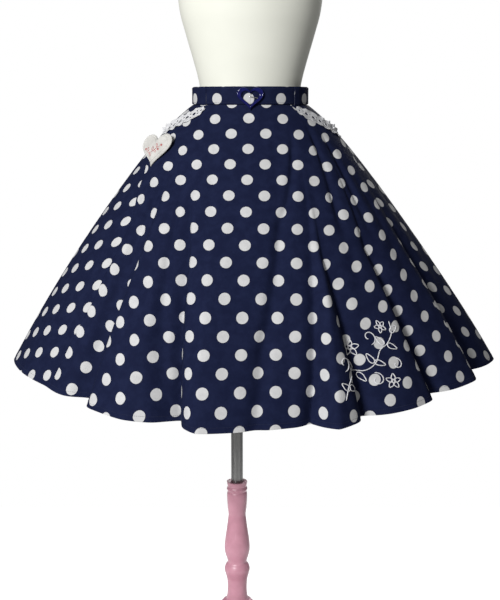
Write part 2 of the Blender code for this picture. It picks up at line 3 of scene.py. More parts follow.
import bmesh
import bpy
import numpy as np
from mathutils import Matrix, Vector


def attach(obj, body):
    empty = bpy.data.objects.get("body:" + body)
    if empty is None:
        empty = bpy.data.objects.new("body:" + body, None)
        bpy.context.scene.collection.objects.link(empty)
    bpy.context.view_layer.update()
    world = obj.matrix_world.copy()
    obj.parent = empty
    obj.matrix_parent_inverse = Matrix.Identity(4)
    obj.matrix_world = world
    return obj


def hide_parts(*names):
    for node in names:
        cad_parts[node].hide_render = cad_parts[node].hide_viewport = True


# Circle skirt with belt, heart buckle and lace pockets, on a dress form with a turned stand.
# Metres, +Z up, the front faces -Y. Left and right are as seen from the front.

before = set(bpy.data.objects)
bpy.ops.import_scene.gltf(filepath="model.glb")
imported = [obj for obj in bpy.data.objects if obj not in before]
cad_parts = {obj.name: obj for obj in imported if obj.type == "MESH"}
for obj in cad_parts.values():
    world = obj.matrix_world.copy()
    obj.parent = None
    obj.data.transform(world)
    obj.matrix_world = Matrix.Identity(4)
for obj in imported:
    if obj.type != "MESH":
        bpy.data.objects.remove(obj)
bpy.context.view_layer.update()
print("frame loaded")

view = {
    "distance": 2.40,      # camera to the form's axis
    "height": 1.205,       # level with the waist seam
    "pitch": 9.71,         # degrees down
    "lens": 68.4,
    "sensor": 36.0,
    "sideways": 0.0284,
}


def placed(name, data):
    made = bpy.data.objects.new(name, data)
    bpy.context.collection.objects.link(made)
    return made


def makeCamera():
    data = bpy.data.cameras.new("photoCamera")
    data.lens = view["lens"]
    data.sensor_width = view["sensor"]
    data.clip_start = 0.05
    data.clip_end = 60.0
    camera = placed("photoCamera", data)
    camera.location = (view["sideways"], -view["distance"], view["height"])
    camera.rotation_euler = (math.radians(90.0 - view["pitch"]), 0.0, 0.0)
    bpy.context.scene.camera = camera


makeCamera()
print("camera placed")

# The garment's own sizes, the same as the solids have
size = {
    "waistZ": 1.205,
    "formX": 0.029,
    "waistHalf": (0.1183, 0.0918),
    "hemHalf": (0.501, 0.440),
    "sideDrop": 0.518,
    "frontDrop": 0.571,
    "seamGap": 0.0003,
    "cloth": 0.0015,
    "pocketEnd": 0.112,
    "mouth": (42.0, 84.0),
}

flareShape = {"startSide": 0.0154, "startFront": -0.0100, "startLength": 0.030, "run": 0.857, "bend": 0.303}

# Side seams as (fraction down, degrees from centre front)
seamLines = {
    -1: ((0.0, -88.0), (0.112, -84.0), (0.26, -62.0), (0.42, -51.0), (0.7, -50.0), (1.0, -52.0)),
    1: ((0.0, 88.0), (0.112, 84.0), (0.26, 69.0), (0.45, 59.5), (0.75, 59.5), (1.0, 61.0)),
}

# Large folds: degrees at top, middle and hem, half widths left and right, depth at the hem, start
bigFolds = (
    (-58, -55, -54, 8, 7, 0.011, 0.25),
    (-48, -41, -40.2, 4, 1.7, 0.044, 0.08),
    (-34, -29, -27, 8, 7, -0.015, 0.30),
    (-42, -21.5, -15.7, 3, 1.3, 0.040, 0.12),
    (-20, -13, -10.5, 3, 9, -0.033, 0.30),
    (26, 11, 8, 7, 4, 0.008, 0.15),
    (37.6, 21, 13.2, 2.4, 1.2, 0.024, 0.10),
    (34, 22.6, 17.4, 2.4, 5, -0.030, 0.30),
    (36, 24.6, 24.9, 1.3, 3.6, 0.028, 0.10),
    (48, 37, 37, 7, 5, -0.007, 0.40),
    (59, 43, 45.7, 1.5, 4.2, 0.032, 0.10),
    (66, 60, 59.5, 5, 3.4, -0.009, 0.40),
    (72, 64.5, 65.2, 1.8, 4.4, 0.034, 0.22),
    (80, 79, 79, 7, 6, -0.014, 0.40),
    (96, 96, 97, 5, 4, 0.034, 0.16),
    (116, 118, 119, 5, 3, 0.046, 0.12),
    (140, 139, 138, 3, 5, 0.036, 0.20),
    (160, 161, 162, 3.6, 5.5, 0.050, 0.14),
    (173, 174, 174, 5, 5, -0.012, 0.30),
    (186, 185, 184, 5, 3.2, 0.040, 0.18),
    (206, 208, 209, 5.5, 3.2, 0.052, 0.12),
    (232, 231, 230, 3.4, 5, 0.034, 0.22),
    (252, 252, 253, 4, 5, 0.048, 0.14),
    (272, 272, 273, 5, 4, 0.030, 0.20),
)
foldShape = {
    "sharpness": 1.55,
    "bend": 0.7,           # how soon a fold's line nears its place at the middle
    "fullAt": 1.05,        # fraction down where a fold has its full depth
    "growth": 0.8,
    "topShare": 0.55,      # share of its depth that a fold keeps at the top
}

# Soft creases, listed one by one: angle and fraction at the upper end, the same at the lower end,
# half width in degrees, depth (a trough if positive)
softCreases = (
    (-58, 0.18, -47, 0.62, 2.6, 0.0026),
    (-52, 0.45, -45, 0.98, 2.2, 0.0022),
    (-36, 0.22, -29.5, 0.80, 2.4, 0.0030),
    (-30, 0.62, -26.5, 0.99, 2, -0.0024),
    (-24, 0.10, -12, 0.48, 2.2, 0.0022),
    (-6, 0.30, -4, 0.70, 2.6, 0.0014),
    (29, 0.12, 11, 0.42, 2.2, 0.0060),
    (12, 0.38, 2.6, 0.80, 2.2, 0.0085),
    (3.4, 0.74, 0.6, 1.05, 2, 0.0085),
    (-27, 0.35, -21, 1.02, 3.6, 0.0060),
    (-33.5, 0.26, -17.6, 1.05, 1.7, 0.0090),
    (-46.6, 0.22, -42.6, 1.05, 1.8, 0.0095),
    (16, 0.10, 9, 0.44, 2.4, 0.0016),
    (30, 0.18, 17, 0.86, 1.6, -0.0022),
    (47, 0.08, 36, 0.42, 1.9, 0.0058),
    (56, 0.12, 49, 0.46, 1.9, 0.0058),
    (40, 0.20, 31, 0.78, 2.4, 0.0024),
    (46, 0.30, 38, 0.92, 1.8, -0.0020),
    (60, 0.20, 52, 0.88, 2.4, 0.0026),
    (78, 0.24, 71, 0.90, 2.6, 0.0026),
    (104, 0.22, 108, 0.84, 2.8, 0.0028),
    (128, 0.30, 128.5, 0.95, 2.2, 0.0022),
    (150, 0.18, 149, 0.78, 2.6, -0.0026),
    (172, 0.34, 173, 0.96, 2.4, 0.0024),
    (196, 0.20, 197, 0.70, 2.6, 0.0028),
    (219, 0.30, 220, 0.97, 2.2, -0.0022),
    (241, 0.22, 241.5, 0.82, 2.6, 0.0026),
    (262, 0.26, 263, 0.90, 2.4, 0.0022),
)
# Where a crease starts, is whole, begins to fade and is gone, as parts of its own length
creaseFade = (-0.15, 0.25, 0.75, 1.15)
probe = {"degrees": 0.05, "fraction": 0.0005}      # steps for the surface's slopes
formAxis = np.array([size["formX"], 0.0, 0.0])


def smoothStep(low, high, value):
    part = np.clip((value - low) / (high - low), 0.0, 1.0)
    return part * part * (3.0 - 2.0 * part)


def seamAngle(side, t):
    line = seamLines[side]
    return np.interp(t, [p[0] for p in line], [p[1] for p in line])


def mouthAngle(t):
    low, high = size["mouth"]
    return low + (high - low) * t / size["pocketEnd"]


def flare(theta, t):
    front = np.cos(theta) ** 2
    start = flareShape["startFront"] * front + flareShape["startSide"] * (1.0 - front)

    def out(d):
        quick = start * (1.0 - np.exp(-d / flareShape["startLength"]))
        return quick + flareShape["run"] * d - flareShape["bend"] * d * d
    return out(t * size["sideDrop"]) / out(np.full_like(t, size["sideDrop"]))


def wrapAngle(away):
    return (away + 180.0) % 360.0 - 180.0


def turns(count):
    # Angles evenly round a circle
    return 2 * math.pi * np.arange(count) / count


def unit(vectors):
    return vectors / np.linalg.norm(vectors, axis=-1, keepdims=True)


def lengthsAlong(points, axis=0):
    # Lengths from the first point on
    steps = np.linalg.norm(np.diff(points, axis=axis), axis=-1)
    first = np.zeros_like(np.take(steps, [0], axis=axis))
    return np.concatenate([first, np.cumsum(steps, axis=axis)], axis=axis)


def ovalPoint(halfX, halfY, angle, z):
    theta = np.radians(angle)
    z = np.broadcast_to(z, np.shape(theta))
    return np.stack([size["formX"] + halfX * np.sin(theta), -halfY * np.cos(theta), z], axis=-1)


def foldDepth(angle, t):
    total = np.zeros_like(angle)
    low = np.clip(t, 0.0, None)
    share = foldShape["topShare"]
    for top, middle, hem, widthLeft, widthRight, depth, start in bigFolds:
        upper = top + (middle - top) * (np.clip(low, 0.0, 0.5) / 0.5) ** foldShape["bend"]
        line = np.where(low < 0.5, upper, middle + (hem - middle) * (low - 0.5) / 0.5)
        away = wrapAngle(angle - line)
        width = np.where(away < 0.0, widthLeft, widthRight)
        across = np.exp(-np.abs(away / width) ** foldShape["sharpness"])
        grown = smoothStep(start, foldShape["fullAt"], low) ** foldShape["growth"]
        total += depth * across * grown * (share + (1.0 - share) * low)
    return total


def creaseDepth(angle, t):
    total = np.zeros_like(angle)
    begin, whole, wholeUntil, gone = creaseFade
    for upAngle, upT, lowAngle, lowT, width, depth in softCreases:
        part = (t - upT) / (lowT - upT)
        line = upAngle + (lowAngle - upAngle) * part
        away = wrapAngle(angle - line) / width
        fade = smoothStep(begin, whole, part) * (1.0 - smoothStep(wholeUntil, gone, part))
        total += depth * np.exp(-away * away) * fade
    return total


def skirtPoint(angle, t):
    angle = np.asarray(angle, dtype=float)
    t = np.asarray(t, dtype=float)
    theta = np.radians(angle)
    out = flare(theta, t)
    deep = foldDepth(angle, t) + creaseDepth(angle, t)
    halfX, halfY = (top + (low - top) * out - deep for top, low in zip(size["waistHalf"], size["hemHalf"]))
    drop = size["sideDrop"] + (size["frontDrop"] - size["sideDrop"]) * np.cos(theta) ** 2
    return ovalPoint(halfX, halfY, angle, size["waistZ"] - size["seamGap"] - t * drop)


def skirtFrame(angle, t):
    # Points, slopes per degree and per fraction, outward normals
    angle = np.asarray(angle, dtype=float)
    t = np.asarray(t, dtype=float)
    turn, fall = probe["degrees"], probe["fraction"]
    here = skirtPoint(angle, t)
    along = (skirtPoint(angle + turn, t) - skirtPoint(angle - turn, t)) / (2.0 * turn)
    down = (skirtPoint(angle, t + fall) - skirtPoint(angle, t - fall)) / (2.0 * fall)
    normal = unit(np.cross(down, along))
    away = here - formAxis
    away[..., 2] = 0.0
    return here, along, down, normal * np.sign(np.sum(normal * away, axis=-1, keepdims=True))


# Meshes
def meshObject(name, points, faces, look, node=None, uvs=None, body="form"):
    mesh = bpy.data.meshes.new(name)
    mesh.from_pydata([tuple(p) for p in points], [], faces)
    mesh.update()
    if uvs is not None:
        layer = mesh.uv_layers.new(name="flatCut")
        index = np.zeros(len(mesh.loops), dtype=int)
        mesh.loops.foreach_get("vertex_index", index)
        layer.data.foreach_set("uv", np.asarray(uvs)[index].ravel())
    mesh.shade_smooth()
    mesh.set_sharp_from_angle(angle=math.radians(45))
    work = bmesh.new()
    work.from_mesh(mesh)
    bmesh.ops.recalc_face_normals(work, faces=work.faces)
    work.to_mesh(mesh)
    work.free()
    mesh.materials.append(finish[look])
    made = placed(name, mesh)
    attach(made, body)
    if node:
        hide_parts(node)
    return made


def gridFaces(rows, columns):
    wide = columns + 1
    return [(r * wide + c, (r + 1) * wide + c, (r + 1) * wide + c + 1, r * wide + c + 1)
            for r in range(rows) for c in range(columns)]


def ringFaces(rings, count, base=0, wrap=False):
    # Quads between rings of points that follow each other
    faces = []
    for i in range(rings if wrap else rings - 1):
        a = base + i * count
        b = base + (i + 1) % rings * count
        faces += [(a + k, a + (k + 1) % count, b + (k + 1) % count, b + k) for k in range(count)]
    return faces


def endFaces(rings, count, base=0):
    last = base + (rings - 1) * count
    return [tuple(range(base, base + count)), tuple(reversed(range(last, last + count)))]


def fanFaces(count, first, tip, flipped=False):
    # Triangles from one ring to a point
    pairs = [(first + k, first + (k + 1) % count) for k in range(count)]
    return [(b, a, tip) if flipped else (a, b, tip) for a, b in pairs]


def wallObject(name, outer, inner, faces, look, node, uvs):
    # Two skins and a rim along every open edge
    outer = np.asarray(outer).reshape(-1, 3)
    inner = np.asarray(inner).reshape(-1, 3)
    uvs = np.asarray(uvs).reshape(-1, 2)
    count = len(outer)
    edges = set()
    for face in faces:
        edges.update(zip(face, face[1:] + face[:1]))
    skins = list(faces)
    skins += [tuple(count + i for i in reversed(face)) for face in faces]
    skins += [(b, a, count + a, count + b) for a, b in edges if (b, a) not in edges]
    used = np.zeros(2 * count, dtype=bool)
    used[[i for face in skins for i in face]] = True
    place = np.cumsum(used) - 1
    skins = [tuple(int(place[i]) for i in face) for face in skins]
    return meshObject(name, np.concatenate([outer, inner])[used], skins, look, node,
                      np.concatenate([uvs, uvs])[used])


# Materials
class Nodes:
    # A short way to wire shader nodes for one material
    def __init__(self, name):
        self.material = bpy.data.materials.new(name)
        self.material.use_nodes = True
        self.tree = self.material.node_tree
        self.shader = self.tree.nodes["Principled BSDF"]

    def put(self, kind, inputs=(), **values):
        node = self.tree.nodes.new(kind)
        for key, value in values.items():
            setattr(node, key, value)
        self.fill(node, inputs)
        return node

    def fill(self, node, inputs):
        for key, value in dict(inputs).items():
            self.link(value, node.inputs[key])

    def link(self, source, target):
        if isinstance(source, (int, float, tuple)):
            target.default_value = source
        else:
            self.tree.links.new(source, target)

    def math(self, operation, first, second=0.0):
        return self.put("ShaderNodeMath", {0: first, 1: second}, operation=operation).outputs[0]

    def vector(self, operation, first, second=(0.0, 0.0, 0.0)):
        node = self.put("ShaderNodeVectorMath", {0: first, 1: second}, operation=operation)
        return node.outputs["Value" if operation in ("DOT_PRODUCT", "LENGTH") else "Vector"]

    def sine(self, place, waves):
        return self.math("SINE", self.vector("DOT_PRODUCT", place, waves))

    def remap(self, value, fromLow, fromHigh, toLow=0.0, toHigh=1.0):
        inputs = {"Value": value, "From Min": fromLow, "From Max": fromHigh,
                  "To Min": toLow, "To Max": toHigh}
        return self.put("ShaderNodeMapRange", inputs, interpolation_type="SMOOTHSTEP").outputs["Result"]

    def mix(self, factor, first, second):
        return self.put("ShaderNodeMix", {"Factor": factor, 6: first, 7: second}, data_type="RGBA").outputs[2]

    def tone(self, value, tones, low=0.3, high=0.7):
        first, second = ((*colour, 1.0) for colour in tones)
        return self.mix(self.remap(value, low, high), first, second)

    def noise(self, place, scale, detail=3.0, roughness=0.55):
        inputs = {"Vector": place, "Scale": scale, "Detail": detail, "Roughness": roughness}
        return self.put("ShaderNodeTexNoise", inputs).outputs["Fac"]

    def drawnOut(self, place, scale):
        return self.put("ShaderNodeMapping", {"Vector": place, "Scale": (1.0, 1.0, scale)}).outputs["Vector"]

    def uv(self):
        return self.put("ShaderNodeUVMap", uv_map="flatCut").outputs["UV"]

    def spot(self):
        return self.put("ShaderNodeTexCoord").outputs["Object"]

    def close(self, colour, rough, roughEnds, height, strength, distance, others=()):
        # Wires the finished colour, roughness and bump, and returns the material
        bump = self.put("ShaderNodeBump", {"Strength": strength, "Distance": distance, "Height": height})
        self.fill(self.shader, {"Base Color": colour, "Roughness": self.remap(rough, 0.2, 0.8, *roughEnds),
                                "Normal": bump.outputs["Normal"], **dict(others)})
        return self.material


cloth = {
    "navy": ((0.0060, 0.0088, 0.0305), (0.0092, 0.0130, 0.0400)),
    "dot": ((0.455, 0.455, 0.46), (0.52, 0.52, 0.52)),
    "period": 0.0685,          # across and down, with a second dot in the middle of each square
    "dotRadius": 0.0111,
    "softEdge": 0.00035,
    "fray": 0.0004,
    "yarnPitch": 0.00075,
    "specular": 0.06,
}


def dottedCloth(name):
    nodes = Nodes(name)
    uv = nodes.uv()
    spot = nodes.spot()
    step = 1.0 / cloth["period"]
    pair = nodes.put("ShaderNodeCombineXYZ")
    for k, side in enumerate((step, -step)):
        nodes.link(nodes.vector("DOT_PRODUCT", uv, (step, side, 0.0)), pair.inputs[k])
    shifted = nodes.vector("ADD", pair.outputs[0], (0.5, 0.5, 0.0))
    near = nodes.vector("SUBTRACT", nodes.vector("FRACTION", shifted), (0.5, 0.5, 0.0))
    away = nodes.math("MULTIPLY", nodes.vector("LENGTH", near), cloth["period"] / math.sqrt(2.0))
    fray = nodes.math("MULTIPLY", nodes.noise(spot, 900.0, 2.0), cloth["fray"])
    away = nodes.math("ADD", away, nodes.math("SUBTRACT", fray, cloth["fray"] / 2))
    radius, soft = cloth["dotRadius"], cloth["softEdge"]
    dotMask = nodes.remap(away, radius - soft, radius + soft, 1.0, 0.0)
    slub = nodes.noise(spot, 55.0, 5.0, 0.65)
    navy = nodes.tone(slub, cloth["navy"], 0.35, 0.70)
    white = nodes.tone(slub, cloth["dot"], 0.30, 0.75)
    wave = 2.0 * math.pi / cloth["yarnPitch"]
    weave = nodes.math("MULTIPLY", nodes.sine(uv, (wave, 0.0, 0.0)), nodes.sine(uv, (0.0, wave, 0.0)))
    height = nodes.math("ADD", weave, nodes.noise(spot, 700.0, 3.0))
    return nodes.close(nodes.mix(dotMask, navy, white), slub, (0.78, 0.92), height, 0.25, 0.00025,
                       {"Specular IOR Level": cloth["specular"]})


# Tones at the low and the high end of each yarn's noise
yarn = {
    "pitch": 0.0006,
    "navyThread": ((0.008, 0.011, 0.034), (0.013, 0.018, 0.050)),
    "whiteThread": ((0.62, 0.62, 0.65), (0.80, 0.80, 0.82)),
    "redThread": ((0.36, 0.020, 0.030), (0.55, 0.035, 0.045)),
    "creamThread": ((0.68, 0.67, 0.62), (0.84, 0.83, 0.78)),
    "laceCotton": ((0.30, 0.31, 0.34), (0.64, 0.64, 0.65)),
    "laceNet": 0.0021,
}


def threadMaterial(name):
    # Twisted yarn: fine diagonal ribs and a little change of colour
    nodes = Nodes(name)
    spot = nodes.spot()
    slub = nodes.noise(spot, 260.0, 4.0)
    wave = 2.0 * math.pi / yarn["pitch"]
    ribs = nodes.sine(spot, (wave, 0.4 * wave, 0.8 * wave))
    height = nodes.math("ADD", ribs, slub)
    return nodes.close(nodes.tone(slub, yarn[name]), slub, (0.79, 0.91), height, 0.5, 0.0003)


def laceMaterial(name):
    # White cotton thread, knotted in a small net
    nodes = Nodes(name)
    uv = nodes.uv()
    slub = nodes.noise(nodes.spot(), 400.0, 4.0)
    wave = 2.0 * math.pi / yarn["laceNet"]
    lines = [nodes.math("ABSOLUTE", nodes.sine(uv, (wave, side, 0.0))) for side in (wave, -wave)]
    net = nodes.math("MAXIMUM", *lines)
    height = nodes.math("ADD", net, nodes.math("MULTIPLY", slub, 0.5))
    return nodes.close(nodes.tone(net, yarn[name], 0.45, 0.95), slub, (0.8, 0.95), height, 0.7, 0.0005)


# Tones, noise for the patches and for fine marks (scale, detail, roughness), how far the marks are
# drawn out upwards, ends of the roughness, bump (strength, distance)
surfaces = {
    "creamFelt": {
        "tones": ((0.43, 0.42, 0.395), (0.55, 0.54, 0.515)), "patch": (45.0, 3.0), "fine": (520.0, 5.0, 0.7),
        "rough": (0.85, 0.98), "bump": (0.45, 0.0005), "others": {"Sheen Weight": 0.3},
    },
    "navyEnamel": {
        "tones": ((0.004, 0.005, 0.058), (0.006, 0.008, 0.088)), "fine": (180.0, 4.0),
        "rough": (0.10, 0.20), "bump": (0.04, 0.0004),
        "others": {"Specular IOR Level": 0.25, "Coat Weight": 0.15, "Coat Roughness": 0.06},
    },
    "prongSteel": {
        "tones": ((0.496, 0.496, 0.504), (0.62, 0.62, 0.63)), "fine": (900.0, 5.0, 0.7), "drawn": 0.04,
        "rough": (0.18, 0.32), "bump": (0.08, 0.0003), "others": {"Metallic": 1.0},
    },
    "poleMetal": {
        "tones": ((0.264, 0.264, 0.26), (0.33, 0.33, 0.325)), "fine": (700.0, 5.0, 0.7), "drawn": 0.04,
        "rough": (0.28, 0.42), "bump": (0.08, 0.0003), "others": {"Metallic": 1.0},
    },
    "formCover": {
        "tones": ((0.675, 0.68, 0.605), (0.70, 0.705, 0.63)), "patch": (9.0, 3.0), "fine": (1400.0, 2.0),
        "rough": (0.55, 0.70), "bump": (0.08, 0.0003), "others": {"Sheen Weight": 0.1},
    },
    "pinkPaint": {
        "tones": ((0.42, 0.195, 0.25), (0.50, 0.24, 0.305)), "patch": (24.0, 4.0), "fine": (170.0, 5.0, 0.6),
        "drawn": 0.08, "rough": (0.32, 0.46), "bump": (0.10, 0.0004),
        "streak": (0.56, 0.33, 0.38, 1.0),      # the wood's grain shows faintly through the paint
    },
}


def surfaceMaterial(name):
    look = surfaces[name]
    nodes = Nodes(name)
    spot = nodes.spot()
    fine = nodes.noise(nodes.drawnOut(spot, look.get("drawn", 1.0)), *look["fine"])
    patch = nodes.noise(spot, *look["patch"]) if "patch" in look else fine
    tone = nodes.tone(patch, look["tones"])
    if "streak" in look:
        tone = nodes.mix(nodes.remap(fine, 0.62, 0.80, 0.0, 0.35), tone, look["streak"])
    return nodes.close(tone, fine, look["rough"], fine, *look["bump"], look.get("others", {}))


finish = {"dots": dottedCloth("dottedCotton"), "lace": laceMaterial("laceCotton")}
for thread in ("navyThread", "whiteThread", "redThread", "creamThread"):
    finish[thread] = threadMaterial(thread)
for surface in surfaces:
    finish[surface] = surfaceMaterial(surface)
print("finishes made")


# Skirt panels
panel = {
    "rows": 150,
    "hemTurn": 0.010,       # the narrow turned hem
    "hemThick": 0.0007,     # how much thicker the hem is
    "hemStep": 0.0006,      # half the width of the step at the hem's upper edge
    "hemRows": (0.018, 0.0165, 0.015, 0.010, 0.005, 0.0),
    "topRows": 19,
    "allowance": 1.12,      # the flat cut's height over the slant
    "ownLength": 0.2,       # how far the print follows each column's own length
    "leanBend": 1.25,
}
# Each panel's columns and middle line in degrees, and how its flat cut lies on the print:
# ring radius at the waist, shift, lean of its grain, and how closely the print is packed
cuts = {
    "front_panel": {"columns": 230, "middle": 0.0, "ring": 0.55, "x": 0.0025, "y": 0.029, "lean": 0.021,
                    "stretch": 0.961},
    "back_panel_right": {"columns": 190, "middle": 120.0, "ring": 0.34, "x": 0.021, "y": 0.012, "lean": 0.0,
                         "stretch": 1.0},
    "back_panel_left": {"columns": 190, "middle": 240.0, "ring": 0.34, "x": 0.043, "y": 0.026, "lean": 0.0,
                        "stretch": 1.0},
}


def rowFractions():
    # Rows meet the pocket's end and crowd a little at the hem
    top = np.linspace(0.0, size["pocketEnd"], panel["topRows"])
    hem = 1.0 - np.array(panel["hemRows"])
    rows = panel["rows"] - panel["topRows"] - len(hem) + 1
    middle = np.linspace(size["pocketEnd"], hem[0], rows)
    return np.concatenate([top, middle[1:-1], hem])


def flatCut(grid, angle, cut):
    # Lays the panel out flat round its middle line, with true lengths along and down
    arcs = lengthsAlong(grid, 1)
    zero = np.array([np.interp(cut["middle"], row, arc) for row, arc in zip(angle, arcs)])
    arcs = arcs - zero[:, None]
    own = lengthsAlong(grid)
    column = grid.shape[1] // 2
    share = panel["ownLength"]
    down = cut["stretch"] * ((1.0 - share) * own[:, column:column + 1] + share * own)
    slant = float(own[-1, column])
    pocketRow = panel["topRows"] - 1
    wide = arcs[:, -1] - arcs[:, 0]
    sector = float((wide[-1] - wide[pocketRow]) / (slant - own[pocketRow, column]))
    ringHem = float(wide[-1]) / sector
    facts = {"sector": math.degrees(sector), "ringTop": ringHem - slant, "ringHem": ringHem,
             "area": 0.5 * sector * (ringHem ** 2 - (ringHem - slant) ** 2), "slant": slant}
    # Arcs are bent round the cut's centre; folds already lengthen them
    ring = cut["ring"] + down
    turn = arcs / (cut["ring"] + down[:, column:column + 1])
    across = ring * np.sin(turn) + cut["x"] + cut["lean"] * (down / slant) ** panel["leanBend"]
    along = cut["ring"] - ring * np.cos(turn) + cut["y"]
    return np.stack([across, along], axis=-1), facts


def panelGrid(leftEdge, rightEdge, fractions, columns):
    # Angles and fractions over a panel, with the seam's gap left at both edges
    low = leftEdge(fractions)
    high = rightEdge(fractions)
    low = low + size["seamGap"] / 2 / np.linalg.norm(skirtFrame(low, fractions)[1], axis=-1)
    high = high - size["seamGap"] / 2 / np.linalg.norm(skirtFrame(high, fractions)[1], axis=-1)
    part = np.linspace(0.0, 1.0, columns + 1)[None, :]
    return low[:, None] + (high - low)[:, None] * part, fractions[:, None] * np.ones((1, columns + 1))


def clothLayers(angle, t, hemmed=True):
    here, _, down, normal = skirtFrame(angle, t)
    thick = np.full(t.shape, size["cloth"])
    if hemmed:
        fromHem = (1.0 - t) * np.linalg.norm(down, axis=-1)
        turn, step = panel["hemTurn"], panel["hemStep"]
        thick = thick + panel["hemThick"] * (1.0 - smoothStep(turn - step, turn + step, fromHem))
    # The top edge is sewn to the waistband
    level = (t == 0.0)[..., None]
    normal = np.where(level, unit(normal * np.array([1.0, 1.0, 0.0])), normal)
    here = here + np.where(level, np.array([0.0, 0.0, size["seamGap"] * 0.9]), 0.0)
    outer = here + normal * (size["cloth"] / 2)
    inner = here + normal * (size["cloth"] / 2 - thick)[..., None]
    return here, outer, inner


def frontEdge(side):
    def edge(t):
        onMouth = t < size["pocketEnd"] - 1e-6
        return np.where(onMouth, side * mouthAngle(t), seamAngle(side, t))
    return edge


def buildPanel(name, leftEdge, rightEdge):
    fractions = rowFractions()
    columns = cuts[name]["columns"]
    angle, t = panelGrid(leftEdge, rightEdge, fractions, columns)
    here, outer, inner = clothLayers(angle, t)
    uv, facts = flatCut(here, angle, cuts[name])
    faces = gridFaces(len(fractions) - 1, columns)
    made = wallObject(name + "_cloth", outer, inner, faces, "dots", name, uv)
    print(name, {key: round(value, 3) for key, value in facts.items()})


def backMiddle(t):
    return np.full_like(t, 180.0)


buildPanel("front_panel", frontEdge(-1), frontEdge(1))
buildPanel("back_panel_right", lambda t: seamAngle(1, t), backMiddle)
buildPanel("back_panel_left", backMiddle, lambda t: 360.0 + seamAngle(-1, t))
print("skirt panels draped")

# Waistband, belt and loops
waist = {
    "bandHeight": 0.0366,
    "bandHalf": (0.1160, 0.0895),
    "bandThick": 0.0020,
    "bandFlat": 0.665,
    "bandPrint": (0.0230, 0.0559),
    "beltClear": 0.0015,
    "beltThick": 0.0018,
    "beltGap": 0.0005,
    "beltFlat": 0.68,
    "beltPrint": (0.0031, -0.0122),
    "beltRipple": (0.00012, 41.0, 17.0, 60.0),      # height, then two waves along and one up
    "rounding": 0.0006,
    "printScale": 1.045,     # the strips' print is packed a little closer
    "loopAngles": {"belt_loop_left": -52.0, "belt_loop_right": 52.0,
                   "belt_loop_back_left": 228.0, "belt_loop_back_right": 132.0},
    "loopWidth": 0.0165,
    "loopThick": 0.0011,
    "loopFlat": 0.055,
    "loopPrint": (0.019, 0.006),
    "loopClear": 0.0003,
    "loopBack": -0.0002,
    "loopBend": 0.0007,
    "loopSwell": 0.0002,
    "loopSteps": 13,
    "stitchIn": 0.0030,      # rows of stitching this far from the edges
    "steps": 240,
}


def ovalArc(halfX, halfY, angles):
    # Length along the oval from the front, signed
    fine = np.radians(np.linspace(-360.0, 360.0, 2881))
    step = np.hypot(halfX * np.cos(fine), halfY * np.sin(fine)) * (fine[1] - fine[0])
    total = np.cumsum(step)
    total -= np.interp(0.0, fine, total)
    return np.interp(np.radians(angles), fine, total)


def stripSection(thick, low, high, rounding):
    # Closed cross section of a flat strip: (out, height) pairs with soft edges
    points = []
    for side, centreZ in ((1, high - rounding), (-1, low + rounding)):
        for turn in np.radians([0.0, 30.0, 60.0, 90.0]):
            bends = (math.cos(turn), math.sin(turn))[::-side]
            points.append((thick - rounding + rounding * bends[0], centreZ + side * rounding * bends[1]))
    middle = [(thick, high - rounding - (high - low - 2 * rounding) * k / 8) for k in range(1, 8)]
    return points[:4] + middle + points[4:] + [(0.0, low + 0.0002), (0.0, high - 0.0002)]


def sweptCloth(node, halves, section, angles, arc, downs, phase, ends):
    # Sweeps pairs of (out, height) along the oval; arc and downs are the places on the print
    rows = [ovalPoint(halves[0] + out, halves[1] + out, angles, z) for out, z in section]
    uvs = [np.stack([arc + phase[0], np.full_like(arc, down + phase[1])], axis=-1) for down in downs]
    made = meshObject(node + "_cloth", np.stack(rows, axis=1).reshape(-1, 3),
                      ringFaces(len(angles), len(section)) + ends, "dots", node,
                      np.stack(uvs, axis=1).reshape(-1, 2))


def ovalStrip(node, halves, thick, clear, opening, breakAt, phase, ripple=(0.0, 0.0, 0.0, 0.0)):
    # A strip round the waist, open at one place; its print starts afresh at breakAt
    low = size["waistZ"] + clear
    high = size["waistZ"] + waist["bandHeight"] - clear
    gap = math.degrees(size["seamGap"] / 2 / halves[0])
    angles = np.linspace(opening + gap, opening + 360.0 - gap, waist["steps"] + 1)
    arc = ovalArc(*halves, np.where(angles > breakAt, angles - 360.0, angles)) * waist["printScale"]
    section = stripSection(thick, low, high, waist["rounding"])
    rippleHeight, first, second, up = ripple
    wavy = [rippleHeight * np.sin(arc * first + 1.3) * np.sin(arc * second + z * up) for _, z in section]
    uneven = [(out + (wave if out > 0.0005 else 0.0), z) for (out, z), wave in zip(section, wavy)]
    sweptCloth(node, halves, uneven, angles, arc, [z - size["waistZ"] for _, z in section], phase,
               endFaces(len(angles), len(section)))


def beltHalf():
    grow = waist["bandThick"] + waist["beltGap"]
    return waist["bandHalf"][0] + grow, waist["bandHalf"][1] + grow


def buildWaist():
    ovalStrip("waistband", waist["bandHalf"], waist["bandThick"], 0.0, 180.0, 180.0, waist["bandPrint"])
    ovalStrip("belt", beltHalf(), waist["beltThick"], waist["beltClear"], 0.0,
              waist["loopAngles"]["belt_loop_back_left"], waist["beltPrint"],
              waist["beltRipple"])
    for name, angle in waist["loopAngles"].items():
        buildLoop(name, angle)
    buildBeltStitches()


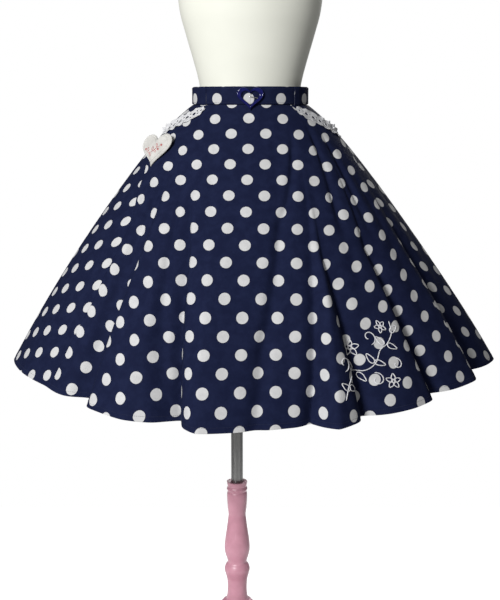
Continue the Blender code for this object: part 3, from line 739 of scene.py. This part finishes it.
def buildLoop(name, angle):
    halfX, halfY = beltHalf()
    face = waist["beltThick"] + waist["loopClear"]
    thick = waist["loopThick"]
    low = size["waistZ"]
    high = low + waist["bandHeight"]
    centre = ovalPoint(halfX, halfY, np.array(angle), 0.0)
    halfTurn = math.degrees(waist["loopWidth"] / 2 / math.hypot(centre[0] - size["formX"], centre[1]))
    # The strip's section goes over the belt and back under itself, with a rounded bend at each end
    back, bend = waist["loopBack"], waist["loopBend"]
    bends = [(face + thick - bend + bend * math.sin(a), bend - bend * math.cos(a))
             for a in np.radians([0.0, 30.0, 60.0, 90.0])]
    section = [(back, low)] + [(out, low + up) for out, up in bends]
    section += [(out, high - up) for out, up in reversed(bends)]
    section += [(back, high), (back, high - thick), (face, high - thick), (face, low + thick),
                (back, low + thick)]
    steps = waist["loopSteps"]
    angles = angle + np.linspace(-halfTurn, halfTurn, steps)
    arc = ovalArc(halfX, halfY, angles)
    swell = np.abs(waist["loopSwell"] * np.cos(np.linspace(-math.pi, math.pi, steps)))
    swelled = [(out - (swell if out > face + 0.0004 else 0.0), z) for out, z in section]
    count = len(section)
    ends = ((0, 1, 2, 3, 4, count - 2, count - 1), (5, 6, 7, 8, 9, count - 4, count - 3),
            (4, 5, count - 3, count - 2))
    ends = [tuple(start + k for k in end) for start in (0, (steps - 1) * count) for end in ends]
    sweptCloth(name, (halfX, halfY), swelled, angles, arc, lengthsAlong(np.array(section)),
               waist["loopPrint"], ends)


# Stitches: short thread bars joined in one mesh
stitchRows = {
    "beltFrom": 14.0,        # degrees beside the buckle where the belt's rows start
    "hemUp": 0.66,           # slant that turns the hem's depth into a fraction
    "seamIn": 0.2,           # degrees that the hem's rows keep from the side seams
    "mouthIn": 1.9,          # degrees in from the pocket mouth
    "mouthRun": (0.006, 0.98),      # first fraction down, and last as a share of the mouth
}
stitch = {"length": 0.0026, "gap": 0.0012, "radius": 0.00028, "sides": 5}
rimStitch = {"length": 0.0024, "gap": 0.0011, "radius": 0.00035, "sides": 5}
# Along one bar: place, height and width
barShape = np.array(((0.0, -0.3, 0.35), (0.18, 0.7, 0.9), (0.5, 1.0, 1.0), (0.82, 0.7, 0.9),
                     (1.0, -0.3, 0.35)))


def threadRow(name, points, normals, look="navyThread", bar=stitch):
    length, radius, sides = bar["length"], bar["radius"], bar["sides"]
    run = lengthsAlong(points)
    verts = []
    faces = []
    for start in np.arange(bar["gap"], run[-1] - length, length + bar["gap"]):
        spots = start + length * barShape[:, 0]
        here = np.stack([np.interp(spots, run, points[:, a]) for a in range(3)], axis=-1)
        up = unit(np.stack([np.interp(spots, run, normals[:, a]) for a in range(3)], axis=-1))
        side = np.cross(unit(here[-1] - here[0]), up)
        faces += ringFaces(len(barShape), sides, len(verts)) + endFaces(len(barShape), sides, len(verts))
        for k, (_, height, wide) in enumerate(barShape):
            for turn in turns(sides):
                offset = side[k] * math.cos(turn) + up[k] * math.sin(turn)
                verts.append(here[k] + radius * (up[k] * height + offset * wide))
    meshObject(name, verts, faces, look)


def buildBeltStitches():
    out = waist["beltThick"] + 0.0001
    halfX, halfY = beltHalf()
    inset = waist["beltClear"] + waist["stitchIn"]
    angles = np.linspace(stitchRows["beltFrom"], 360.0 - stitchRows["beltFrom"], 700)
    for name, up in (("belt_stitches_low", inset), ("belt_stitches_high", waist["bandHeight"] - inset)):
        points = ovalPoint(halfX + out, halfY + out, angles, size["waistZ"] + up)
        normals = unit((points - formAxis) * np.array([1.0, 1.0, 0.0]))
        threadRow(name, points, normals)


def buildSkirtStitches():
    hem = 1.0 - panel["hemTurn"] / stitchRows["hemUp"]
    inset = stitchRows["seamIn"]
    left, right = seamAngle(-1, hem), seamAngle(1, hem)
    rows = [("hem_stitches_back", np.linspace(right + inset, 360.0 + left - inset, 1500), hem),
            ("hem_stitches_front", np.linspace(left + inset, right - inset, 1300), hem)]
    for side, word in ((-1, "left"), (1, "right")):
        upper, lower = stitchRows["mouthRun"]
        t = np.linspace(upper, size["pocketEnd"] * lower, 120)
        rows.append(("pocket_stitches_" + word, side * (mouthAngle(t) - stitchRows["mouthIn"]), t))
    for name, angle, t in rows:
        here, _, _, normal = skirtFrame(angle, t)
        threadRow(name, here + normal * (size["cloth"] / 2), normal)


# Heart buckle and prong
buckle = {
    "width": 0.054, "height": 0.045, "z": 0.0120, "lean": 0.115, "thick": 0.0032, "hole": 0.66,
    "back": 0.0003, "steps": 120,
    "prongLength": 0.017, "prongRadius": 0.0011, "prongClear": 0.0030, "prongLift": 0.0012,
    "prongUp": 0.0015, "prongRise": 0.003, "prongTaper": 0.35, "prongSides": 16,
    "prongRound": 0.92, "prongTip": 0.082,      # where its round tip starts and how long that is, as parts
}


def heartOutline(width, height, steps):
    turn = turns(steps)
    x = np.sin(turn) ** 3
    z = (13 * np.cos(turn) - 5 * np.cos(2 * turn) - 2 * np.cos(3 * turn) - np.cos(4 * turn)) / 29
    return x * width / 2, (z + 0.087) * height


def beltFront(x, z, out):
    halfX, halfY = (half + waist["beltThick"] + out for half in beltHalf())
    return np.stack([size["formX"] + x, -halfY * np.sqrt(1.0 - (x / halfX) ** 2), z + 0.0 * x], axis=-1)


def buildBuckle():
    steps, thick, hole, back = (buckle[key] for key in ("steps", "thick", "hole", "back"))
    rimX, rimZ = heartOutline(buckle["width"], buckle["height"], steps)
    # Cross section: a rounded rail with a raised rim at its outer edge
    rings = ((1.0, 0.45), (0.99, 0.75), (0.965, 0.97), (0.935, 1.0), (0.905, 0.90), (0.88, 0.80),
             (0.80, 0.86), (0.74, 0.82), (hole + 0.03, 0.66), (hole + 0.008, 0.45), (hole, 0.25))
    rings = [(1.0, back)] + [(scale, thick * share) for scale, share in rings] + [(hole, back)]
    middle = size["waistZ"] + buckle["z"]
    rows = []
    for scale, out in rings:
        high = rimZ * scale + (1 - scale) * 0.002
        lean = buckle["lean"] * (buckle["height"] / 2 - high)
        rows.append(beltFront(rimX * scale, middle + high, out + lean))
    faces = ringFaces(len(rings), steps, 0, True)
    meshObject("buckle_heart", np.concatenate(rows), faces, "navyEnamel", "buckle_frame")
    buildProng(middle)


def buildProng(middle):
    steps, radius, rounded = buckle["prongSides"], buckle["prongRadius"], buckle["prongRound"]
    startX = buckle["width"] / 2 * buckle["hole"] - buckle["prongClear"]
    lengths = np.concatenate([np.linspace(0.0, rounded, 10), [0.96, 0.985, 1.0]])
    points = []
    for part in lengths:
        x = startX - buckle["prongLength"] * part
        inTip = max(0.0, part - rounded) / buckle["prongTip"]
        wide = radius * (1.0 - buckle["prongTaper"] * part ** 2) * math.sqrt(max(0.0, 1.0 - inTip ** 2))
        z = middle + buckle["prongUp"] + buckle["prongRise"] * part
        base = beltFront(np.array(x), z, buckle["prongLift"] + radius)
        for turn in turns(steps):
            points.append(base + wide * np.array([0.0, math.cos(turn), math.sin(turn)]))
    faces = ringFaces(len(lengths), steps) + endFaces(len(lengths), steps)
    meshObject("prong_pin", points, faces, "prongSteel", "buckle_prong")


# Pocket side pieces
pocket = {"clear": 0.20, "depth": 0.94, "rows": 24, "columns": 40, "print": (0.012, 0.04)}


def buildPocketSides():
    rows = np.linspace(0.0, size["pocketEnd"] * pocket["depth"], pocket["rows"])
    columns = pocket["columns"]
    edges = {
        "pocket_side_left": (lambda t: seamAngle(-1, t), lambda t: -mouthAngle(t) - pocket["clear"]),
        "pocket_side_right": (lambda t: mouthAngle(t) + pocket["clear"], lambda t: seamAngle(1, t)),
    }
    for name, (leftEdge, rightEdge) in edges.items():
        angle, t = panelGrid(leftEdge, rightEdge, rows, columns)
        here, outer, inner = clothLayers(angle, t, False)
        arcs = lengthsAlong(here, 1)
        middle = columns // 2
        down = lengthsAlong(here[:, middle])
        across = arcs - arcs[:, middle:middle + 1] + pocket["print"][0]
        uv = np.stack([across, np.repeat(down[:, None], columns + 1, axis=1) + pocket["print"][1]], axis=-1)
        faces = gridFaces(len(rows) - 1, columns)
        made = wallObject(name + "_cloth", outer, inner, faces, "dots", name, uv)


# Lace
lace = {
    "halfWidth": 0.0112, "scallop": 0.0034, "picot": 0.0005, "thick": 0.0006, "lift": 0.0004, "wave": 0.0011,
    "repeats": 7, "perRepeat": 24, "across": 24, "holeRadius": 0.0041, "smallHole": 0.0017,
    "smallHoleAt": (0.0040, 0.0055),      # from the middle line, at the narrow upper end and below
    "firstHole": 0.6,        # size of the uppermost eyelet beside the others
    "narrow": (0.45, 0.16),  # width at the upper end, as a share, and part of the length that widens
    "inside": 0.3,           # degrees that its middle line lies in from the pocket mouth
    "past": 0.002,           # fraction that it runs on below the mouth
    "solid": 0.93,           # share of its area that the eyelets leave
    "top": 0.014,            # fraction down the skirt where it starts
    "flick": 0.0065,         # how far the upper edge stands off by the lower end
    "cordRadius": 0.00045,
    "cordOut": 0.0005,       # round the eyelets, this far out from their rims
    "edging": 0.004,         # what the scallops add to the flat width
    "fullness": 1.15,
}


def laceCentre(side, s):
    t = lace["top"] + (size["pocketEnd"] + lace["past"] - lace["top"]) * s
    return side * (mouthAngle(t) - lace["inside"]), t


def onSkirt(angle, t, shift, out):
    # Moves along the surface by a small step, then out from it
    _, along, down, _ = skirtFrame(angle, t)
    dAngle = np.sum(shift * along, axis=-1) / np.sum(along * along, axis=-1)
    rest = shift - along * dAngle[..., None]
    dT = np.sum(rest * down, axis=-1) / np.sum(down * down, axis=-1)
    newT = np.maximum(0.0015, t + dT)
    here, _, _, normal = skirtFrame(angle + dAngle, newT)
    return here + normal * np.asarray(out)[..., None]


def laceRun(side, s):
    angle, t = laceCentre(side, s)
    run = unit(skirtPoint(*laceCentre(side, s + 0.001)) - skirtPoint(angle, t))
    return angle, t, run, unit(np.cross(run, skirtFrame(angle, t)[3]))


def laceHoles(length):
    # Places along and across and radii of the eyelets
    repeat = length / lace["repeats"]
    holes = []
    for k in range(lace["repeats"]):
        middle = (k + 0.5) * repeat
        aside = lace["smallHoleAt"][1 if k else 0]
        holes.append((middle, 0.0, lace["holeRadius"] * (1.0 if k else lace["firstHole"])))
        holes += [(middle + 0.5 * repeat, place, lace["smallHole"]) for place in (aside, -aside)]
    return holes


def punched(x, y, holes):
    # Cells whose middle falls in a hole are left out, and the hole's rim is pulled round
    cut = np.zeros((x.shape[0] - 1, x.shape[1] - 1), dtype=bool)
    newX = x.copy()
    newY = y.copy()
    midX = (x[1:, 1:] + x[:-1, :-1]) / 2
    midY = (y[1:, 1:] + y[:-1, :-1]) / 2
    for holeX, holeY, radius in holes:
        inside = np.hypot(midX - holeX, midY - holeY) < radius
        cut |= inside
        corner = np.zeros(x.shape, dtype=bool)
        for rows in (slice(None, -1), slice(1, None)):
            for columns in (slice(None, -1), slice(1, None)):
                corner[rows, columns] |= inside
        away = np.hypot(x - holeX, y - holeY)
        scale = np.where(corner & (away > 1e-6), radius / np.maximum(away, 1e-6), 1.0)
        newX = np.where(corner, holeX + (x - holeX) * scale, newX)
        newY = np.where(corner, holeY + (y - holeY) * scale, newY)
    return cut, newX, newY


def buildLace(name, side):
    columns = lace["repeats"] * lace["perRepeat"]
    across = lace["across"]
    s = np.linspace(0.0, 1.0, columns + 1)[None, :] * np.ones((across + 1, 1))
    v = np.linspace(-1.0, 1.0, across + 1)[:, None] * np.ones((1, columns + 1))
    angle, t, run, cross = laceRun(side, s)
    phase = s * lace["repeats"]
    edge = lace["scallop"] * np.abs(np.sin(math.pi * phase))
    edge = edge + lace["picot"] * np.abs(np.sin(4 * math.pi * phase))
    narrow, widens = lace["narrow"]
    half = (lace["halfWidth"] + edge) * (narrow + (1.0 - narrow) * smoothStep(0.0, widens, s))
    length = float(lengthsAlong(skirtPoint(*laceCentre(side, np.linspace(0.0, 1.0, 60))))[-1])
    x = s * length
    y = v * half
    holes = laceHoles(length)
    cut, newX, newY = punched(x, y, holes)
    wave = lace["wave"] * (1.0 + np.sin(2 * math.pi * phase * 0.83 + 1.0 + v)) * np.abs(v)
    upward = np.clip(v * np.sign(cross[..., 2]), 0.0, 1.0)
    ruffle = 0.75 + 0.25 * np.sin(2 * math.pi * phase + 0.6)
    wave = wave + lace["flick"] * upward ** 1.4 * smoothStep(0.05, 0.95, s) * ruffle
    shift = run * (newX - x)[..., None] + cross * newY[..., None]
    base = lace["lift"] + wave + size["cloth"] / 2
    outer = onSkirt(angle, t, shift, base + lace["thick"])
    inner = onSkirt(angle, t, shift, base)
    faces = [face for k, face in enumerate(gridFaces(across, columns)) if not cut[k // columns, k % columns]]
    made = wallObject(name + "_eyelet", outer, inner, faces, "lace", name, np.stack([x, y], axis=-1))
    # A raised thread round each large eyelet
    row = across // 2
    turn = turns(24)
    rings = []
    for holeX, _, radius in holes:
        if radius <= lace["smallHole"]:
            continue
        column = int(np.argmin(np.abs(x[row] - holeX)))
        dx = holeX - x[row, column] + (radius + lace["cordOut"]) * np.cos(turn)
        dy = (radius + lace["cordOut"]) * np.sin(turn)
        shift = run[row, column] * dx[:, None] + cross[row, column] * dy[:, None]
        spot = (np.full_like(turn, value[row, column]) for value in (angle, t))
        rings.append(onSkirt(*spot, shift, np.full_like(turn, base[row, column] + lace["thick"])))
    tubes(name + "_rings", rings, lace["cordRadius"], "whiteThread", True)


def tubes(name, paths, radius, look, closed, sides=6):
    # Round threads along several paths, joined in one mesh
    verts = []
    faces = []
    for path in paths:
        count = len(path)
        way = np.roll(path, -1, axis=0) - np.roll(path, 1, axis=0) if closed else np.gradient(path, axis=0)
        way = unit(way)
        away = path - formAxis
        away[:, 2] = 0.3
        side = unit(np.cross(way, away))
        up = np.cross(side, way)
        faces += ringFaces(count, sides, len(verts), closed)
        if not closed:
            faces += endFaces(count, sides, len(verts))
        for i in range(count):
            taper = 1.0 if closed else min(1.0, 0.35 + min(i, count - 1 - i) * 0.35)
            verts += [path[i] + radius * taper * (side[i] * math.cos(a) + up[i] * math.sin(a))
                      for a in turns(sides)]
    meshObject(name, verts, faces, look)


# Padded heart
heart = {
    "width": 0.080, "height": 0.072, "thick": 0.009, "angle": -64.0, "fraction": 0.178,
    "puff": 0.93, "rimHeight": 0.0022, "dipWidth": 0.035,
    "faces": -42.0, "leans": 26.0, "tilt": 4.0, "steps": 96, "stitchIn": 0.86, "stitchDip": 0.0011,
    "motifRadius": 0.00038, "motifLift": 0.0003, "leafWide": 0.42, "budRadii": (0.0021, 0.0010),
    # The rim from the back round to the front: scale and height
    "rim": ((0.985, 0.0), (1.0, 0.0006), (1.0, 0.0014), (0.992, 0.0020), (0.975, 0.0024), (0.955, 0.0027)),
}
# A small red sprig on the heart: its stem, leaves (x, z, turn, length) and buds
heartStem = ((-0.019, -0.003), (-0.012, -0.007), (-0.004, -0.007), (0.004, -0.003), (0.011, 0.003),
             (0.018, 0.006))
heartLeaves = ((-0.013, 0.000, 1.9, 0.0042), (-0.005, -0.0125, -1.1, 0.0040), (-0.001, 0.001, 1.6, 0.0046),
               (0.007, -0.005, -0.7, 0.0040), (0.008, 0.008, 1.9, 0.0040))
heartBuds = ((-0.0205, 0.0005), (0.0205, 0.0080), (0.014, -0.0010))


def leafOutline(x, z, long, wide, tilt, steps, egg=0.0):
    turn = np.linspace(0.0, 2 * math.pi, steps)
    across = long * np.cos(turn)
    up = wide * np.sin(turn) * (1.0 - egg * np.cos(turn))
    return (x + across * math.cos(tilt) - up * math.sin(tilt),
            z + across * math.sin(tilt) + up * math.cos(tilt))


def heartPlane():
    facing, leans, tilt = (math.radians(heart[key]) for key in ("faces", "leans", "tilt"))
    out = np.array([math.sin(facing) * math.cos(leans), -math.cos(facing) * math.cos(leans), math.sin(leans)])
    flatRight = np.array([math.cos(facing), math.sin(facing), 0.0])
    flatUp = np.cross(out, flatRight)
    flatUp = flatUp * np.sign(flatUp[2])
    right = flatRight * math.cos(tilt) + flatUp * math.sin(tilt)
    up = flatUp * math.cos(tilt) - flatRight * math.sin(tilt)
    # Its back lies where the solid's does
    spots = np.array([tuple(v.co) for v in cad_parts["heart_patch"].data.vertices])
    centre = skirtPoint(heart["angle"], heart["fraction"])
    return centre + out * (float(np.min(spots @ out)) - float(centre @ out)), right, up, out


def heartSpot(plane, x, z, height):
    centre, right, up, out = plane
    return centre + np.multiply.outer(x, right) + np.multiply.outer(z, up) + np.multiply.outer(height, out)


def heartHeight(scale):
    # Soft crown with a dip where the rim is stitched
    crown = heart["thick"] * np.clip(1.0 - scale ** 3.2, 0.0, 1.0) ** 0.5
    dip = heart["stitchDip"] * np.exp(-((scale - heart["stitchIn"]) / heart["dipWidth"]) ** 2)
    return np.maximum(crown * heart["puff"], heart["rimHeight"]) - dip


def buildHeart():
    plane = heartPlane()
    steps = heart["steps"]
    rimX, rimZ = heartOutline(heart["width"], heart["height"], steps)
    inward = np.linspace(0.93, 0.06, 34)
    rings = list(heart["rim"]) + list(zip(inward, heartHeight(inward)))
    points = []
    for scale, high in rings:
        points += list(heartSpot(plane, rimX * scale, rimZ * scale, np.full(steps, high)))
    points += [heartSpot(plane, 0.0, 0.0, rings[-1][1]), heartSpot(plane, 0.0, 0.0, 0.0)]
    faces = ringFaces(len(rings), steps)
    faces += fanFaces(steps, (len(rings) - 1) * steps, len(points) - 2)
    faces += fanFaces(steps, 0, len(points) - 1, True)
    made = meshObject("heart_padded", points, faces, "creamFelt", "heart_patch")
    scale = heart["stitchIn"]
    turn = np.arange(steps + 1) % steps
    high = np.full(steps + 1, float(heartHeight(scale)))
    ring = heartSpot(plane, rimX[turn] * scale, rimZ[turn] * scale, high)
    normals = np.tile(plane[3], (steps + 1, 1))
    threadRow("heart_rim_stitches", ring, normals, "creamThread", rimStitch)
    buildHeartMotif(plane)


def buildHeartMotif(plane):
    rimX, rimZ = heartOutline(heart["width"], heart["height"], 360)
    rimSpin = np.arctan2(rimZ, rimX)
    paths = []

    def sewn(x, z):
        away = wrapAngle(np.degrees(rimSpin[None, :] - np.arctan2(z, x)[:, None]))
        near = np.argmin(np.abs(away), axis=1)
        scale = np.hypot(x, z) / np.hypot(rimX[near], rimZ[near])
        paths.append(heartSpot(plane, x, z, heartHeight(scale) + heart["motifLift"]))

    stem = np.array(heartStem)
    place = np.linspace(0.0, len(stem) - 1.0, 30)
    sewn(*(np.interp(place, np.arange(len(stem)), stem[:, k]) for k in range(2)))
    for x, z, tilt, long in heartLeaves:
        sewn(*leafOutline(x, z, long, long * heart["leafWide"], tilt, 17))
    for x, z in heartBuds:
        for radius in heart["budRadii"]:
            sewn(*leafOutline(x, z, radius, radius, 0.0, 17))
    tubes("heart_sprig", paths, heart["motifRadius"], "redThread", False, 5)


# White flowering scroll embroidered on the lower right of the front
sprig = {
    "angle": 29.3, "fraction": 0.835, "radius": 0.00095, "lift": 0.45,
    "petal": (0.62, 0.40), "eye": 0.28, "egg": 0.45,      # shares of a petal's distance; egg shape
    "degrees": 9.7, "half": 0.075,      # this many degrees for half the scroll's width
    "stem": ((-0.072, -0.058), (-0.056, -0.030), (-0.034, -0.016), (-0.010, -0.018), (0.012, -0.006),
             (0.028, 0.016), (0.048, 0.026), (0.066, 0.044), (0.071, 0.066)),
    # Leaves: x, z, turn
    "leaves": ((-0.066, -0.034, 2.3), (-0.050, -0.042, -0.7), (-0.036, -0.004, 1.7), (-0.018, -0.030, -1.0),
               (0.004, 0.004, 2.0), (0.020, -0.008, -0.5), (0.034, 0.034, 2.2), (0.056, 0.018, -0.6),
               (0.074, 0.050, 0.4)),
    "leaf": (0.0105, 0.0046),
    # Tendrils: x, z, first radius, turned from, to
    "curls": ((-0.058, 0.008, 0.015, -1.7, 4.0), (0.006, -0.038, 0.014, 1.7, -4.2),
              (0.014, 0.044, 0.015, -1.5, 4.4), (0.052, -0.016, 0.012, 1.4, -4.0)),
    # Flowers: x, z, petal
    "flowers": ((-0.026, 0.028, 0.0105), (0.034, -0.046, 0.0090), (0.046, 0.060, 0.0080)),
}


def buildSprig():
    paths = []
    fall = np.linalg.norm(skirtFrame(sprig["angle"], sprig["fraction"])[2])

    def sew(points, steps):
        points = np.array(points, dtype=float)
        spots = np.linspace(0.0, len(points) - 1.0, steps)
        x, z = (smoothCurve(points[:, k], spots) for k in range(2))
        here, _, _, lift = skirtFrame(sprig["angle"] + x / sprig["half"] * sprig["degrees"],
                                      sprig["fraction"] - z / fall)
        paths.append(here + lift * (size["cloth"] / 2 + sprig["radius"] * sprig["lift"]))

    def oval(*shape):
        sew(np.stack(leafOutline(*shape, 25, sprig["egg"]), axis=-1), 34)

    sew(sprig["stem"], 120)
    for x, z, tilt in sprig["leaves"]:
        oval(x, z, *sprig["leaf"], tilt)
    for x, z, start, turnFrom, turnTo in sprig["curls"]:
        turn = np.linspace(turnFrom, turnTo, 30)
        shrink = start * np.linspace(1.0, 0.22, 30)
        sew(np.stack([x + shrink * np.cos(turn), z + shrink * np.sin(turn)], axis=-1), 48)
    long, wide = sprig["petal"]
    for x, z, petal in sprig["flowers"]:
        for k in range(5):
            tilt = 2 * math.pi * k / 5 + x * 40.0
            oval(x + petal * math.cos(tilt), z + petal * math.sin(tilt), petal * long, petal * wide, tilt)
        oval(x, z, petal * sprig["eye"], petal * sprig["eye"], 0.0)
    tubes("skirt_sprig", paths, sprig["radius"], "whiteThread", False)


def smoothCurve(values, spots):
    # Cubic through the points
    values = np.asarray(values, dtype=float)
    padded = np.concatenate([[2 * values[0] - values[1]], values, [2 * values[-1] - values[-2]]])
    index = np.clip(spots.astype(int), 0, len(values) - 2)
    part = spots - index
    a, b, c, d = (padded[index + k] for k in range(4))
    return 0.5 * (2 * b + (c - a) * part + (2 * a - 5 * b + 4 * c - d) * part ** 2
                  + (3 * b - a - 3 * c + d) * part ** 3)


# Stand. Torso rings: height over the waist seam, half widths across and front to back
torsoRings = (
    (-0.285, 0.132, 0.098), (-0.281, 0.144, 0.108), (-0.266, 0.154, 0.116), (-0.22, 0.163, 0.122),
    (-0.165, 0.161, 0.121), (-0.11, 0.149, 0.113), (-0.06, 0.133, 0.102), (-0.02, 0.1195, 0.0925),
    (0.001, 0.1147, 0.0882), (0.016, 0.1094, 0.0846), (0.034, 0.1045, 0.0815), (0.058, 0.1085, 0.0835),
    (0.095, 0.1185, 0.09), (0.14, 0.1315, 0.099), (0.185, 0.1435, 0.109), (0.23, 0.1485, 0.115),
    (0.275, 0.147, 0.112), (0.32, 0.14, 0.099), (0.355, 0.127, 0.086), (0.382, 0.105, 0.075),
    (0.4, 0.078, 0.065), (0.414, 0.059, 0.056), (0.43, 0.054, 0.052), (0.448, 0.053, 0.051),
    (0.455, 0.048, 0.046),
)
# Turned post: height, radius
postProfile = (
    (0.0353, 0.034), (0.041, 0.036), (0.048, 0.0305), (0.057, 0.0315), (0.068, 0.039), (0.08, 0.0455),
    (0.0925, 0.0475), (0.103, 0.043), (0.11, 0.035), (0.115, 0.0315), (0.119, 0.025), (0.129, 0.0222),
    (0.146, 0.0212), (0.165, 0.0223), (0.178, 0.0255), (0.189, 0.028), (0.198, 0.0258), (0.2035, 0.0222),
    (0.207, 0.021), (0.214, 0.0226), (0.226, 0.0262), (0.239, 0.028), (0.258, 0.0265), (0.285, 0.0226),
    (0.305, 0.0201), (0.316, 0.019), (0.328, 0.0203), (0.35, 0.0217), (0.364, 0.0217), (0.369, 0.0203),
    (0.3745, 0.0224), (0.38, 0.0206), (0.385, 0.0214), (0.391, 0.0225),
)
stand = {
    "steps": 128, "socketRadius": 0.0134, "socketDepth": 0.060, "boreRadius": 0.0132, "boreBottom": 0.088,
    "poleRadius": 0.0127, "poleBottom": 0.200, "poleTop": 0.9797, "poleEdge": 0.001, "torsoSteps": 160,
    "baseRadius": 0.200, "baseRound": 0.004,
    # The base's upper side: height, distance in from the edge
    "baseEdge": ((0.018, 0.0), (0.0205, 0.0006), (0.0225, 0.0022), (0.0242, 0.0042), (0.026, 0.006),
                 (0.0278, 0.0115), (0.0297, 0.0205), (0.031, 0.030), (0.0324, 0.055), (0.0338, 0.090),
                 (0.035, 0.140), (0.035, 0.200)),
    "neckCap": ((0.93, 0.0012), (0.7, 0.0028), (0.35, 0.0040), (0.0, 0.0044)),
}


def turned(name, profile, look, body, node):
    # Revolves (height, radius) pairs; the ends lie on the axis
    steps = stand["steps"]
    points = [(0.0, 0.0, profile[0][0])]
    for z, radius in profile[1:-1]:
        points += [(radius * math.cos(a), radius * math.sin(a), z) for a in turns(steps)]
    points.append((0.0, 0.0, profile[-1][0]))
    rings = len(profile) - 2
    faces = ringFaces(rings, steps, 1)
    faces += fanFaces(steps, 1, 0, True) + fanFaces(steps, 1 + (rings - 1) * steps, len(points) - 1)
    meshObject(name, points, faces, look, node, body=body)


def buildStand():
    places = np.linspace(0.0, len(postProfile) - 1.0, 200)
    heights, radii = (smoothCurve(column, places) for column in zip(*postProfile))
    top = heights[-1]
    bore, bottom = stand["boreRadius"], stand["boreBottom"]
    post = [(heights[0], 0.0)] + list(zip(heights, radii))
    post += [(top, 0.0200), (top - 0.0002, bore + 0.0010), (top - 0.0008, bore + 0.0002),
             (top - 0.0014, bore), (bottom, bore), (bottom, 0.0)]
    turned("turned_post", post, "pinkPaint", "stand", "post")
    radius, bend = stand["baseRadius"], stand["baseRound"]
    edge = [(0.0, 0.0), (0.0, radius - bend)]
    edge += [(bend - bend * math.cos(a), radius - bend + bend * math.sin(a))
             for a in np.radians([20, 45, 70, 90])]
    edge += [(z, radius - inward) for z, inward in stand["baseEdge"]]
    turned("round_base", edge, "pinkPaint", "stand", "base")
    low, top, wide, bend = (stand[key] for key in ("poleBottom", "poleTop", "poleRadius", "poleEdge"))
    pole = [(low, 0.0), (low, wide - bend), (low + bend, wide), (0.40, wide), (0.60, wide), (0.80, wide),
            (top - bend, wide), (top, wide - bend), (top, 0.0)]
    turned("steel_pole", pole, "poleMetal", "pole", "pole")
    buildTorso()


def buildTorso():
    places = np.linspace(0.0, len(torsoRings) - 1.0, 170)
    z, halfX, halfY = (smoothCurve(column, places) for column in zip(*torsoRings))
    steps = stand["torsoSteps"]
    angles = 360.0 * np.arange(steps) / steps
    z = size["waistZ"] + z
    rows = [ovalPoint(a, b, angles, high) for high, a, b in zip(z, halfX, halfY)]
    # The underside has a round socket for the pole, the neck a gently crowned end
    turn = np.arctan2(rows[0][:, 1], rows[0][:, 0])
    radius, roof = stand["socketRadius"], z[0] + stand["socketDepth"]
    socket = [np.stack([radius * np.cos(turn), radius * np.sin(turn), np.full(steps, high)], axis=-1)
              for high in (roof, z[0])]
    *cap, tip = stand["neckCap"]
    crown = [ovalPoint(halfX[-1] * share, halfY[-1] * share, angles, z[-1] + up) for share, up in cap]
    rings = socket + rows + crown
    points = list(np.concatenate(rings)) + [(0.0, 0.0, roof), (size["formX"], 0.0, z[-1] + tip[1])]
    faces = ringFaces(len(rings), steps)
    faces += fanFaces(steps, 0, len(points) - 2, True)
    faces += fanFaces(steps, (len(rings) - 1) * steps, len(points) - 1)
    meshObject("torso_cover", points, faces, "formCover", "torso_form")


buildWaist()
print("waistband, belt and loops made")
buildBuckle()
print("buckle made")
buildPocketSides()
buildLace("lace_left", -1)
buildLace("lace_right", 1)
print("pockets and lace made")
buildSkirtStitches()
buildHeart()
buildSprig()
print("heart and embroidery made")
buildStand()
print("stand made")


# Floor, backdrop and light
stageLook = {
    "backdrop": 1.0,         # how the camera sees the surround
    "room": 0.20,            # how strongly the surround lights the part
    "floor": 0.30,
    "floorGlow": 0.99,
    "floorReach": 0.9,
    # Place, target, width, power
    "keyLight": ((-1.75, -2.85, 2.35), (0.0, 0.0, 1.0), 0.9, 160.0),
    "backLight": ((0.9, 3.1, 2.4), (0.0, 0.0, 0.9), 1.8, 80.0),
    "fillLight": ((2.2, -1.8, 1.9), (0.0, 0.0, 1.0), 1.8, 2.0),
}


def buildStage():
    # A plain white floor that runs into a white surround
    reach = stageLook["floorReach"]
    mesh = bpy.data.meshes.new("studioFloor")
    mesh.from_pydata([(-reach, -reach, 0.0), (reach, -reach, 0.0), (reach, reach, 0.0), (-reach, reach, 0.0)],
                     [], [(0, 1, 2, 3)])
    nodes = Nodes("studioFloorPaint")
    paint = {"Base Color": (*[stageLook["floor"]] * 3, 1.0), "Roughness": 0.95, "Specular IOR Level": 0.0,
             "Emission Color": (1.0, 1.0, 1.0, 1.0), "Emission Strength": stageLook["floorGlow"]}
    nodes.fill(nodes.shader, paint)
    mesh.materials.append(nodes.material)
    placed("studioFloor", mesh)
    world = bpy.data.worlds.new("studioWorld")
    bpy.context.scene.world = world
    world.use_nodes = True
    tree = world.node_tree
    back = tree.nodes["Background"]
    back.inputs["Color"].default_value = (1.0, 1.0, 1.0, 1.0)
    rays = tree.nodes.new("ShaderNodeLightPath")
    strength = tree.nodes.new("ShaderNodeMapRange")
    tree.links.new(rays.outputs["Is Camera Ray"], strength.inputs["Value"])
    strength.inputs["To Min"].default_value = stageLook["room"]
    strength.inputs["To Max"].default_value = stageLook["backdrop"]
    tree.links.new(strength.outputs["Result"], back.inputs["Strength"])
    bpy.context.scene.view_settings.view_transform = "Standard"
    for name in ("keyLight", "backLight", "fillLight"):
        addLight(name, *stageLook[name])


def addLight(name, place, target, width, power):
    data = bpy.data.lights.new(name, "AREA")
    data.size = width
    data.energy = power
    light = placed(name, data)
    light.location = place
    light.rotation_euler = (Vector(target) - Vector(place)).to_track_quat("-Z", "Y").to_euler()


buildStage()
print("stage lit")
